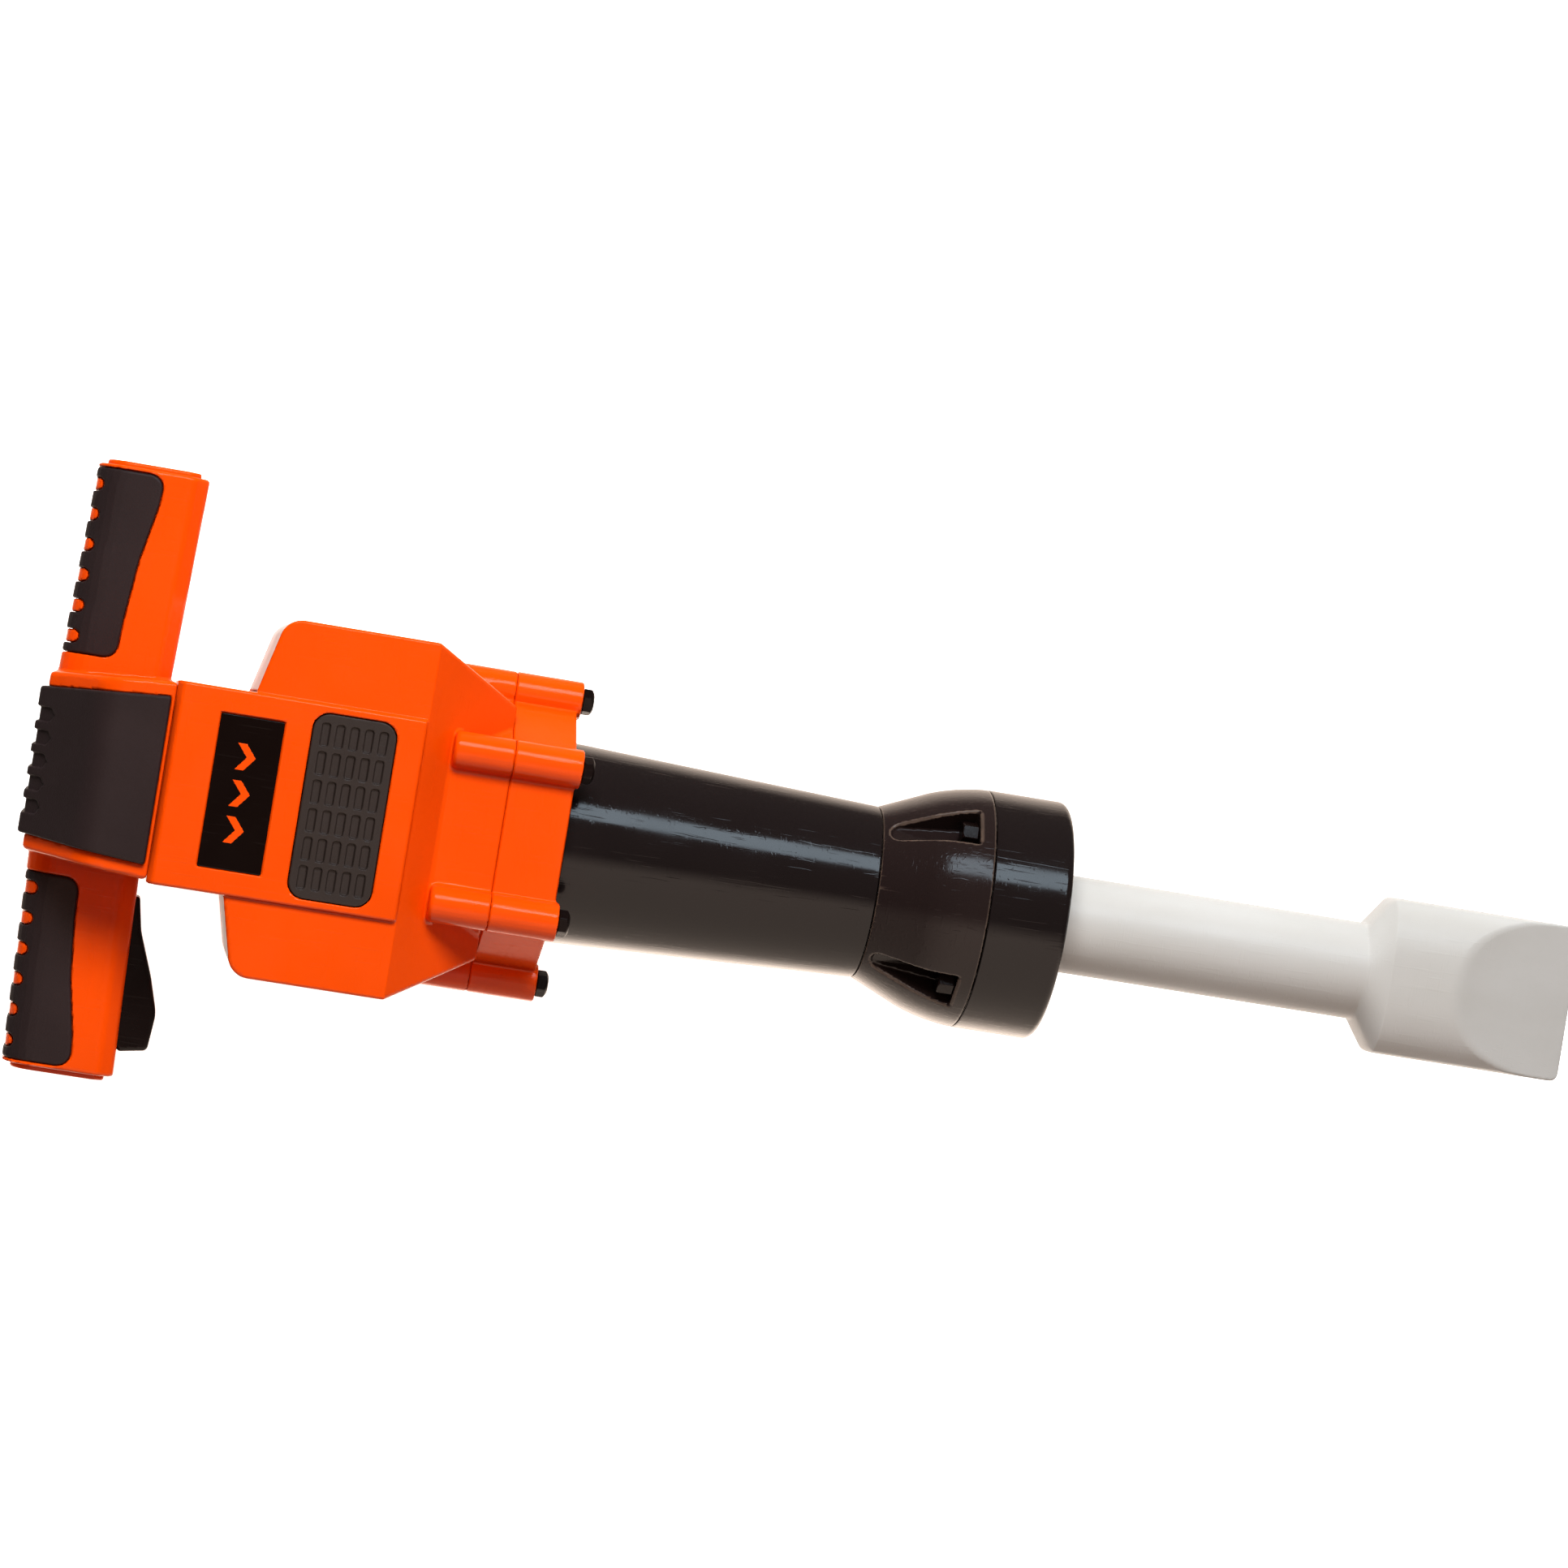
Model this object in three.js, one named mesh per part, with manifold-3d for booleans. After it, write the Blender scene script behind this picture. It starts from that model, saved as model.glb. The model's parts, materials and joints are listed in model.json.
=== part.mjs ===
// Toy demolition hammer with a T handle, lying on its back.
// Millimetres. Each piece is modelled on the tool axis: X runs towards the chisel, Y along the
// handle's grips and Z out of the front face. X is 0 at the end of the nose tubes. The group at the
// end lifts the object onto Z = 0.
import * as THREE from 'three';
import { mergeVertices } from 'three/addons/utils/BufferGeometryUtils.js';
import Module from 'manifold-3d';

const wasm = await Module();
wasm.setup();

// ---- driving dimensions ----
const GAP = 0.3;                 // clearance between separate pieces
const WALL = 2.5;                // moulded wall
const FAR = 400;                 // larger than the object, for cutting blocks

const PANEL_Z = 57;              // half depth over the raised centre panel
const LOBE_Z = 55;               // half depth of the side lobes
const PANEL_Y = 36.3;            // half width of the centre panel and of the neck
const LOBE_Y = 64.2;             // half width over the lobes
const NECK_X = -148;             // handle end of the neck
const NECK_CHAMFER = [4, 5];     // along X and Z, where the neck meets the hub
const LOBE_INNER_X = -121.4;     // lobe's handle end beside the neck
const LOBE_OUTER_X = -113.7;     // lobe's handle end at its outer corner
const RIDGE_X = -58.8;           // where the housing starts to taper
const SEAM_X = -26.1;            // chisel end of the housing
const SEAM_Y = 46.5;             // half width there
const SEAM_Z = 23;               // half depth there
const PANEL_CHAMFER = 1.2;

const HEX_APOTHEM = 44.7;        // nose block across half its flats
const NOSE_END_X = -2.8;
const TUBE_END_X = -1.3;
const TUBE_R = 7;
const TUBE_CIRCLE_R = 52.4;
const TUBE_ANGLES = [32, 90, 148, -148, -90, -32];   // degrees from the front, towards +Y
const STUB_X = -50;              // where the tubes leave the housing's slope
const BOLT_R = 1.9;
const BOLT_HEAD_ACROSS = 8.6;

const BARREL_START_X = -2.5;
const BARREL_END_X = 113.7;
const BARREL_START_R = 37;
const BARREL_END_R = 32;
const CONE_START_X = 114;
const CONE_EDGE_X = 142.6;       // end of the flare
const CONE_END_X = 153.6;
const HEAD_R = 44.5;
const COLLAR_START_X = 153.9;
const COLLAR_END_X = 183.5;
const HEAD_BOLT_CIRCLE_R = 38.5;
const HEAD_BOLT_SEAT_X = 147.8;
const POCKET_FLOOR_R = 32;       // floor of the wedge pockets that hold the head bolts
const POCKET_HALF = [3, 8];      // half widths at the barrel's end and at the bolt's seat

const SHAFT_R = 18.3;
const SHAFT_START_X = 124.4;
const SHAFT_END_X = 302.7;
const BLADE_START_X = 312.2;
const BLADE_Y = 29.6;
const BLADE_Z = 20.5;
const BLADE_BEVEL_X = 338;       // where the blade starts to thin
const TIP_X = 386.9;
const TIP_Z = 1.2;
const CHISEL_TRAVEL = 10;        // how far the chisel slides back into the collar

const HUB_LEFT_X = -193;
const HUB_PAD_PROUD = 3;         // how far the hub's pad stands off the hub
const HUB_PAD_LEFT_X = HUB_LEFT_X - HUB_PAD_PROUD;
const HUB_Z = 51;
const HUB_LEFT_Y = 32.2;         // the hub narrows from its neck end to its free end
const HUB_RIGHT_Y = 35.5;
const HUB_PAD_LEFT_Y = 26.6;
const HUB_PAD_RIGHT_Y = 30.3;
const GRIP_INNER_Y = 30;         // grips start inside the hub
const GRIP_END_Y = 109.2;
const GRIP_MID_X = -171.6;       // grip centre line carried on to Y = 0
const GRIP_SWEEP = 0.0315;       // how far the grips lean towards the chisel, per unit of length
const GRIP_HALF_X = 20.2;
const GRIP_HALF_Z = 18;
const PAD_DEPTH = 2.2;
const SHELL_INSET = 4.6;         // grip cavity inside the outer section

const GEAR_MODULE = 1;
const PINION_TEETH = 12;
const GEAR_TEETH = 44;
const MOTOR_X = -24;
const GEAR_X = MOTOR_X + (PINION_TEETH + GEAR_TEETH) * GEAR_MODULE / 2 + 0.4;
const CAM_R = 10;
const CAM_OFFSET = 4;

const TRIGGER_PIVOT = [-158, -47];
const TRIGGER_HALF_Z = 9;

const CASE_SCREWS = [[-104, 54], [-104, -54], [-66, 54], [-66, -54]];
const HANDLE_SEAT_Z = -11;       // where the handle screws' heads bear
const HANDLE_SCREWS = [[-157, 95], [-157, 50], [-158.5, -103.8]];

// ---- materials ----
const orange = new THREE.MeshStandardMaterial({ color: 0xf84b05, roughness: 0.35 });
const black = new THREE.MeshStandardMaterial({ color: 0x2a2322, roughness: 0.5 });
const gloss = new THREE.MeshStandardMaterial({ color: 0x221d1c, roughness: 0.2 });
const grey = new THREE.MeshStandardMaterial({ color: 0xe4e0da, roughness: 0.45 });
const silver = new THREE.MeshStandardMaterial({ color: 0xcac7c2, roughness: 0.4 });
const steel = new THREE.MeshStandardMaterial({ color: 0xb4b4b8, roughness: 0.3, metalness: 1 });
const green = new THREE.MeshStandardMaterial({ color: 0x1f5a35, roughness: 0.5 });

// ---- solids from three.js geometry ----
function signedVolume(position, index) {
  const [a, b, c] = [new THREE.Vector3(), new THREE.Vector3(), new THREE.Vector3()];
  let volume = 0;
  for (let i = 0; i < index.length; i += 3) {
    a.fromBufferAttribute(position, index[i]);
    b.fromBufferAttribute(position, index[i + 1]);
    c.fromBufferAttribute(position, index[i + 2]);
    volume += a.dot(b.cross(c));
  }
  return volume;
}

function solid(geometry) {
  const bare = geometry.clone();
  bare.deleteAttribute('normal');
  bare.deleteAttribute('uv');
  const merged = mergeVertices(bare, 1e-4);
  const flat = merged.index.array;
  const triangles = [];
  for (let i = 0; i < flat.length; i += 3) {
    const [a, b, c] = [flat[i], flat[i + 1], flat[i + 2]];
    if (a !== b && b !== c && c !== a) {
      triangles.push(a, b, c);
    }
  }
  if (signedVolume(merged.attributes.position, triangles) < 0) {
    triangles.reverse();
  }
  return new wasm.Manifold(new wasm.Mesh({
    numProp: 3,
    vertProperties: Float32Array.from(merged.attributes.position.array),
    triVerts: Uint32Array.from(triangles),
  }));
}

function unite(solids) {
  return solids.reduce((all, one) => all.add(one));
}

function cut(from, tools) {
  return tools.reduce((left, tool) => left.subtract(tool), from);
}

function block(x0, x1, y0, y1, z0, z1) {
  const box = new THREE.BoxGeometry(x1 - x0, y1 - y0, z1 - z0);
  box.translate((x0 + x1) / 2, (y0 + y1) / 2, (z0 + z1) / 2);
  return solid(box);
}

function extrude(points, length) {
  const shape = new THREE.Shape(points.map(([u, v]) => new THREE.Vector2(u, v)));
  return new THREE.ExtrudeGeometry(shape, { depth: length, bevelEnabled: false });
}

// Outline in X and Y, extruded along Z.
function extrudeZ(points, z0, z1) {
  return solid(extrude(points, z1 - z0).translate(0, 0, z0));
}

// Outline in Y and Z, extruded along X.
function extrudeX(points, x0, x1) {
  const turn = new THREE.Matrix4().makeBasis(
    new THREE.Vector3(0, 1, 0), new THREE.Vector3(0, 0, 1), new THREE.Vector3(1, 0, 0));
  return solid(extrude(points, x1 - x0).applyMatrix4(turn).translate(x0, 0, 0));
}

// Outline in X and Z, extruded along Y, with X leaning by sweep for each unit of Y.
function extrudeY(points, y0, y1, sweep = 0) {
  const turn = new THREE.Matrix4().makeBasis(
    new THREE.Vector3(1, 0, 0), new THREE.Vector3(0, 0, 1), new THREE.Vector3(0, -1, 0));
  const lean = new THREE.Matrix4().set(1, sweep, 0, 0, 0, 1, 0, 0, 0, 0, 1, 0, 0, 0, 0, 1);
  return solid(extrude(points, y1 - y0).applyMatrix4(turn).translate(0, y1, 0).applyMatrix4(lean));
}

// Profile of [x, radius] points, turned about the line Y = y, Z = z.
function turned(profile, segments = 32, y = 0, z = 0) {
  const points = profile.map(([x, r]) => new THREE.Vector2(r, x));
  const lathe = new THREE.LatheGeometry(points, segments);
  return solid(lathe.rotateZ(-Math.PI / 2).translate(0, y, z));
}

function rodX(x0, x1, r, y = 0, z = 0, segments = 16) {
  return turned([[x0, 0], [x0, r], [x1, r], [x1, 0]], segments, y, z);
}

function rodZ(z0, z1, r, x, y, segments = 16) {
  const rod = new THREE.CylinderGeometry(r, r, z1 - z0, segments);
  return solid(rod.rotateX(Math.PI / 2).translate(x, y, (z0 + z1) / 2));
}

function rodY(y0, y1, r, x, z, segments = 16) {
  const rod = new THREE.CylinderGeometry(r, r, y1 - y0, segments);
  return solid(rod.translate(x, (y0 + y1) / 2, z));
}

function regular(sides, r, turn = 0, u0 = 0, v0 = 0) {
  return Array.from({ length: sides }, (_, i) => {
    const a = turn + 2 * Math.PI * i / sides;
    return [u0 + r * Math.cos(a), v0 + r * Math.sin(a)];
  });
}

// Corners are [u, v, radius]; a corner with a radius becomes an arc.
function rounded(corners, steps = 4) {
  const points = [];
  corners.forEach(([u, v, r = 0], i) => {
    const here = new THREE.Vector2(u, v);
    if (r === 0) {
      points.push([u, v]);
      return;
    }
    const before = corners[(i + corners.length - 1) % corners.length];
    const after = corners[(i + 1) % corners.length];
    const back = new THREE.Vector2(before[0], before[1]).sub(here).normalize();
    const on = new THREE.Vector2(after[0], after[1]).sub(here).normalize();
    const half = Math.acos(THREE.MathUtils.clamp(back.dot(on), -1, 1)) / 2;
    const centre = back.clone().add(on).normalize().multiplyScalar(r / Math.sin(half)).add(here);
    const from = back.clone().multiplyScalar(r / Math.tan(half)).add(here).sub(centre);
    const to = on.clone().multiplyScalar(r / Math.tan(half)).add(here).sub(centre);
    const turn = Math.atan2(from.cross(to), from.dot(to));
    for (let k = 0; k <= steps; k += 1) {
      const p = from.clone().rotateAround(new THREE.Vector2(), turn * k / steps).add(centre);
      points.push([p.x, p.y]);
    }
  });
  return points;
}

function mirroredY(points) {
  return [...points, ...points.slice().reverse().map(([x, y, ...rest]) => [x, -y, ...rest])];
}

function rectangle(u0, u1, v0, v1, r = 0) {
  return rounded([[u0, v0, r], [u1, v0, r], [u1, v1, r], [u0, v1, r]], 3);
}

// Coil round the tool axis direction X, centred on Y = y, Z = z.
function coil(x0, x1, r, wire, turns, y = 0, z = 0) {
  const steps = turns * 8;
  const points = Array.from({ length: steps + 1 }, (_, i) => {
    const a = 2 * Math.PI * turns * i / steps;
    return new THREE.Vector3(x0 + (x1 - x0) * i / steps, y + r * Math.cos(a), z + r * Math.sin(a));
  });
  const section = new THREE.Shape(regular(5, wire).map(([u, v]) => new THREE.Vector2(u, v)));
  const path = new THREE.CatmullRomCurve3(points);
  return solid(new THREE.ExtrudeGeometry(section, { steps, extrudePath: path, bevelEnabled: false }));
}

const drill = new THREE.Group();

function piece(name, made, material) {
  const mesh = made.getMesh();
  const geometry = new THREE.BufferGeometry();
  geometry.setAttribute('position', new THREE.BufferAttribute(mesh.vertProperties, mesh.numProp));
  geometry.setIndex(new THREE.BufferAttribute(mesh.triVerts, 1));
  geometry.computeVertexNormals();
  const part = new THREE.Mesh(geometry, material);
  part.name = name;
  drill.add(part);
}

// ---- main housing ----
// The housing seen from the front, drawn in from its outline by inset.
function housingPlan(inset) {
  const slant = inset * 1.04;
  return rounded(mirroredY([
    [LOBE_INNER_X + slant, 0],
    [LOBE_INNER_X + slant, PANEL_Y - 4],
    [LOBE_OUTER_X + slant, LOBE_Y - inset, 7],
    [RIDGE_X - inset * 0.3, LOBE_Y - inset, 1],
    [SEAM_X, SEAM_Y - inset * 1.14],
  ]), 4);
}

// The housing seen from the side.
function housingProfile(inset) {
  const half = [
    [LOBE_INNER_X - 5, LOBE_Z - inset],
    [RIDGE_X - inset * 0.4, LOBE_Z - inset],
    [SEAM_X, SEAM_Z - inset * 1.4],
  ];
  return [...half, ...half.slice().reverse().map(([x, z]) => [x, -z])];
}

function neckSection(inset) {
  const [y, z, c] = [PANEL_Y - inset, PANEL_Z - inset, PANEL_CHAMFER];
  const half = [[y - c, -z], [y, c - z], [y, z - c], [y - c, z]];
  return [...half, ...half.slice().reverse().map(([u, v]) => [-u, v])];
}

// The centre panel and neck as one bar, thinned towards the hub.
function neckBar(inset, end) {
  const [run, rise] = NECK_CHAMFER;
  const [x, z] = [NECK_X + inset, PANEL_Z - inset];
  const half = [[x, z - rise], [x + run, z], [end, z]];
  const profile = [...half, ...half.slice().reverse().map(([x, z]) => [x, -z])];
  return extrudeX(neckSection(inset), NECK_X + inset, end).intersect(extrudeY(profile, -FAR, FAR));
}

function hexSection(apothem) {
  return regular(6, apothem / Math.cos(Math.PI / 6));
}

function tubePlace(degrees) {
  const a = THREE.MathUtils.degToRad(degrees);
  return [TUBE_CIRCLE_R * Math.sin(a), TUBE_CIRCLE_R * Math.cos(a)];
}

function housingSolid() {
  const body = extrudeZ(housingPlan(0), -LOBE_Z, LOBE_Z)
    .intersect(extrudeY(housingProfile(0), -FAR, FAR));
  const neck = neckBar(0, RIDGE_X - 0.2);
  const nose = extrudeX(hexSection(HEX_APOTHEM), RIDGE_X + 6, SEAM_X);
  const stubs = TUBE_ANGLES.map((a) => rodX(STUB_X, SEAM_X, TUBE_R, ...tubePlace(a), 16));
  return unite([body, neck, nose, ...stubs]);
}

function housingCavity() {
  const body = extrudeZ(housingPlan(WALL), -LOBE_Z, LOBE_Z)
    .intersect(extrudeY(housingProfile(WALL), -FAR, FAR));
  const neck = neckBar(WALL, RIDGE_X - 4);
  const nose = extrudeX(hexSection(HEX_APOTHEM - WALL), RIDGE_X, SEAM_X + 1);
  return unite([body, neck, nose]);
}

// The strip of lobe wall that faces the handle, which the chassis fills.
function endWalls(gap) {
  const ring = extrudeZ(housingPlan(-1), -LOBE_Z + WALL - gap, LOBE_Z - WALL + gap)
    .subtract(extrudeZ(housingPlan(WALL + gap), -FAR, FAR));
  const [x, y] = [LOBE_OUTER_X + 5.5 + gap, PANEL_Y + 0.6 - gap];
  return ring.intersect(unite([block(-125, x, y, 66, -60, 60), block(-125, x, -66, -y, -60, 60)]));
}

const LABEL = { x0: -131.4, x1: -108.7, y: 27.4 };
const GRILLE = { x0: -98.8, x1: -69.1, y: 33, corner: 6 };
const DOOR = { x0: -121.5, x1: -62.5, y: 24, thick: 2.4, screwX: -118.2 };
const BAY_X = -115;              // handle end of the battery bay
const SWITCH = { x0: -140, x1: -126, y: 12 };

function screwBosses(places, z0, z1, r, bore) {
  const bosses = places.map(([x, y]) => rodZ(z0, z1, r, x, y, 12));
  const bores = places.map(([x, y]) => rodZ(z0 - 1, z1 + 1, bore, x, y, 12));
  return { bosses, bores };
}

function frontCover() {
  const half = housingSolid().intersect(block(-FAR, FAR, -FAR, FAR, GAP / 2, FAR));
  const hollow = cut(half, [housingCavity(), endWalls(GAP)]);
  const { bosses, bores } = screwBosses(CASE_SCREWS, 2, LOBE_Z - 1, 4.5, 1.9);
  const [labelY, grilleY] = [LABEL.y + GAP, GRILLE.y + GAP];
  const label = block(LABEL.x0 - GAP, LABEL.x1 + GAP, -labelY, labelY, PANEL_Z - 1.5, FAR);
  const rim = rectangle(GRILLE.x0 - GAP, GRILLE.x1 + GAP, -grilleY, grilleY, GRILLE.corner);
  const seat = extrudeZ(rim, PANEL_Z - 1.7, FAR);
  const sound = block(GRILLE.x0 + 3, GRILLE.x1 - 3, 3 - GRILLE.y, GRILLE.y - 3, 20, FAR);
  const neckHole = block(NECK_X - 1, NECK_X + WALL + 1, -15.3, 15.3, -15.3, 15.3);
  const blind = bores.map((bore) => bore.intersect(block(-FAR, FAR, -FAR, FAR, 0, 16)));
  return cut(unite([hollow, ...bosses]), [...blind, label, seat, sound, neckHole]);
}

function rearCover() {
  const half = housingSolid().intersect(block(-FAR, FAR, -FAR, FAR, -FAR, -GAP / 2));
  const hollow = cut(half, [housingCavity(), endWalls(GAP)]);
  const { bosses, bores } = screwBosses(CASE_SCREWS, -LOBE_Z + 1, -2, 5.5, 1.9);
  const sinks = CASE_SCREWS.map(([x, y]) => rodZ(-LOBE_Z - 3, -LOBE_Z + 7, 4, x, y));
  const bay = block(BAY_X - GAP, DOOR.x1 + GAP, -DOOR.y - GAP, DOOR.y + GAP, -FAR, -40);
  const seatZ = DOOR.thick + GAP - PANEL_Z;
  const doorSeat = block(DOOR.x0 - GAP, DOOR.x1, -DOOR.y - GAP, DOOR.y + GAP, -FAR, seatZ);
  const doorLedge = block(DOOR.x0 - 1.5, BAY_X, -DOOR.y - 2, DOOR.y + 2, 1 - PANEL_Z, 5 - PANEL_Z);
  const doorBoss = rodZ(1 - PANEL_Z, 13 - PANEL_Z, 3.2, DOOR.screwX, 0, 12);
  const doorBore = rodZ(-FAR, 12 - PANEL_Z, 1.6, DOOR.screwX, 0, 10);
  const slot = block(SWITCH.x0 + 4, SWITCH.x1 - 4, -SWITCH.y + 3, SWITCH.y - 3, -FAR, -40);
  const dish = block(SWITCH.x0, SWITCH.x1, -SWITCH.y, SWITCH.y, -FAR, -PANEL_Z + 1.4);
  const neckHole = block(NECK_X - 1, NECK_X + WALL + 1, -15.3, 15.3, -15.3, 15.3);
  const filled = unite([hollow, ...bosses, doorLedge, doorBoss]);
  return cut(filled, [...bores, ...sinks, bay, doorSeat, doorBore, slot, dish, neckHole]);
}

function chassis() {
  const walls = endWalls(0).intersect(extrudeZ(housingPlan(0), -FAR, FAR));
  const plate = extrudeZ(housingPlan(WALL + 0.5), -1.2, 1.2)
    .intersect(block(-FAR, RIDGE_X - 5, -FAR, FAR, -9, 9));
  const ties = [-1, 1].map((side) => {
    const [near, far] = [side * 38, side * 58].sort((a, b) => a - b);
    return block(LOBE_INNER_X + 1.5, LOBE_OUTER_X + 4, near, far, -1.2, 1.2);
  });
  const tube = block(NECK_X - 7, LOBE_INNER_X + 6, -15, 15, -15, 15);
  const flange = block(NECK_X - 7.5, NECK_X - 4, -21, 21, -21, 21);
  const bore = block(-FAR, LOBE_INNER_X + 4, -12, 12, -12, 12);
  const holes = CASE_SCREWS.map(([x, y]) => rodZ(-9, 9, 6, x, y));
  return cut(unite([walls, plate, ...ties, tube, flange]), [bore, ...holes]);
}

function labelPlate() {
  return block(LABEL.x0, LABEL.x1, -LABEL.y, LABEL.y, PANEL_Z - 1.2, PANEL_Z - 0.5);
}

function speakerGrille() {
  const outline = rectangle(GRILLE.x0, GRILLE.x1, -GRILLE.y, GRILLE.y, GRILLE.corner);
  const plate = extrudeZ(outline, PANEL_Z - 1.4, PANEL_Z + 0.4);
  const [columns, rows, pitchX, pitchY] = [5, 6, 5.17, 10.2];
  const slots = [];
  for (let i = 0; i < columns; i += 1) {
    for (let j = 0; j < rows; j += 1) {
      const x = (GRILLE.x0 + GRILLE.x1) / 2 + (i - (columns - 1) / 2) * pitchX;
      const y = (j - (rows - 1) / 2) * pitchY;
      slots.push(block(x - 1.45, x + 1.45, y - 4.15, y + 4.15, PANEL_Z - 0.6, FAR));
    }
  }
  return cut(plate, slots);
}

function speaker() {
  const turn = [[32, 0], [32, 11], [38, 11], [42, 19], [48, 19.5], [48, 17.5], [44, 8], [44, 0]];
  const lathe = new THREE.LatheGeometry(turn.map(([z, r]) => new THREE.Vector2(r, z)), 24);
  return solid(lathe.rotateX(Math.PI / 2).translate((GRILLE.x0 + GRILLE.x1) / 2, 0, 0));
}

piece('front_cover', frontCover(), orange);
piece('rear_cover', rearCover(), orange);
piece('chassis', chassis(), grey);
piece('label_plate', labelPlate(), black);
piece('speaker_grille', speakerGrille(), black);
piece('speaker', speaker(), black);

function caseScrew(x, y, seat, end, headR = 3.4) {
  return unite([rodZ(seat - 2.4, seat, headR, x, y, 12), rodZ(seat - 1, end, 1.6, x, y, 8)]);
}

CASE_SCREWS.forEach(([x, y], i) => {
  piece(`case_screw_${i + 1}`, caseScrew(x, y, -LOBE_Z + 7 - GAP, 14), steel);
});

// ---- nose ----
function noseHousing() {
  const start = SEAM_X + GAP;
  const hex = extrudeX(hexSection(HEX_APOTHEM), start, NOSE_END_X);
  const tubes = TUBE_ANGLES.map((a) => rodX(start, TUBE_END_X, TUBE_R, ...tubePlace(a), 16));
  const cavity = extrudeX(hexSection(HEX_APOTHEM - WALL), start - 1, NOSE_END_X - 4)
    .subtract(unite(TUBE_ANGLES.map((a) => rodX(-FAR, FAR, TUBE_R, ...tubePlace(a), 16))));
  const bores = TUBE_ANGLES.map((a) => rodX(-20, 5, BOLT_R + GAP, ...tubePlace(a), 10));
  return cut(unite([hex, ...tubes]), [cavity, rodX(-FAR, 9, 34 + GAP, 0, 0, 40), ...bores]);
}

function hexBolt(seat, headLength, shankEnd, across, y, z, headward) {
  const sides = regular(6, across / Math.sqrt(3), Math.PI / 2, y, z);
  const [h0, h1] = [seat, seat + headward * headLength].sort((a, b) => a - b);
  const [s0, s1] = [shankEnd, seat + headward].sort((a, b) => a - b);
  return unite([extrudeX(sides, h0, h1), rodX(s0, s1, BOLT_R, y, z, 10)]);
}

piece('nose_housing', noseHousing(), orange);
TUBE_ANGLES.forEach((a, i) => {
  const [y, z] = tubePlace(a);
  piece(`nose_bolt_${i + 1}`, hexBolt(TUBE_END_X + GAP, 4.2, -18, BOLT_HEAD_ACROSS, y, z, 1), black);
});

// ---- barrel, head and collar ----
function barrel() {
  const outer = [[-14, 0], [-14, 34], [BARREL_START_X, 34], [BARREL_START_X, BARREL_START_R]];
  const shell = turned([...outer, [BARREL_END_X, BARREL_END_R], [BARREL_END_X, 0]], 40);
  const bore = [[-15, 0], [-15, 31.5], [BARREL_START_X, 31.5], [BARREL_START_X + 4, 34]];
  return shell.subtract(turned([...bore, [BARREL_END_X + 1, 29.4], [BARREL_END_X + 1, 0]], 40));
}

function headPocket(degrees) {
  const [x0, x1] = [CONE_START_X + 2, HEAD_BOLT_SEAT_X];
  const [narrow, wide] = POCKET_HALF;
  const outline = [[x0, -narrow], [x1, -wide], [x1, wide], [x0, narrow]];
  const geometry = extrude(outline, 30).translate(0, 0, POCKET_FLOOR_R);
  return solid(geometry.rotateX(THREE.MathUtils.degToRad(degrees)));
}

const HEAD_ANGLES = [45, 135, -135, -45];

function headBoltPlace(degrees) {
  const a = THREE.MathUtils.degToRad(degrees);
  return [-HEAD_BOLT_CIRCLE_R * Math.sin(a), HEAD_BOLT_CIRCLE_R * Math.cos(a)];
}

function headCone() {
  const flare = [[CONE_START_X, 0], [CONE_START_X, BARREL_END_R], [CONE_EDGE_X - 1.5, HEAD_R - 0.6]];
  const outer = turned([...flare, [CONE_EDGE_X + 1, HEAD_R], [CONE_END_X, HEAD_R], [CONE_END_X, 0]], 40);
  const cavity = rodX(CONE_START_X - 1, HEAD_BOLT_SEAT_X + 2.2, 30, 0, 0, 32);
  const hole = rodX(0, FAR, 23 + GAP, 0, 0, 32);
  const bores = HEAD_ANGLES.map((a) => rodX(140, FAR, BOLT_R + GAP, ...headBoltPlace(a), 10));
  return cut(outer, [cavity, hole, ...bores, ...HEAD_ANGLES.map(headPocket)]);
}

function collar() {
  const edge = 2.5;
  const [x, r] = [COLLAR_END_X, HEAD_R];
  const end = [[x - edge, r], [x - 0.7, r - 0.7], [x, r - edge], [x, 0]];
  const outer = turned([[COLLAR_START_X, 0], [COLLAR_START_X, HEAD_R], ...end], 40);
  const bosses = unite(HEAD_ANGLES.map((a) => rodX(0, FAR, 5, ...headBoltPlace(a), 12)));
  const hollow = rodX(0, COLLAR_END_X - 3.5, HEAD_R - 3, 0, 0, 40).subtract(bosses);
  const bores = HEAD_ANGLES.map((a) => rodX(0, 168, BOLT_R + GAP, ...headBoltPlace(a), 10));
  return cut(outer, [hollow, rodX(0, FAR, SHAFT_R + 0.9, 0, 0, 40), ...bores]);
}

function guideBush() {
  const tube = rodX(SHAFT_START_X + 0.4, COLLAR_END_X - 4, 23, 0, 0, 32);
  return tube.subtract(rodX(0, FAR, SHAFT_R + GAP, 0, 0, 40));
}

piece('barrel', barrel(), gloss);
piece('head_cone', headCone(), black);
piece('collar', collar(), gloss);
piece('guide_bush', guideBush(), grey);
HEAD_ANGLES.forEach((a, i) => {
  const [y, z] = headBoltPlace(a);
  piece(`head_bolt_${i + 1}`, hexBolt(HEAD_BOLT_SEAT_X - GAP, 6, 165, 8, y, z, -1), black);
});

// ---- chisel ----
const ROD_R = 8;
const FLANGE_R = 24;
const SEAT_X = 58;
const ROD_END_X = GEAR_X + CAM_R + CAM_OFFSET + CHISEL_TRAVEL + 0.8;

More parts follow.
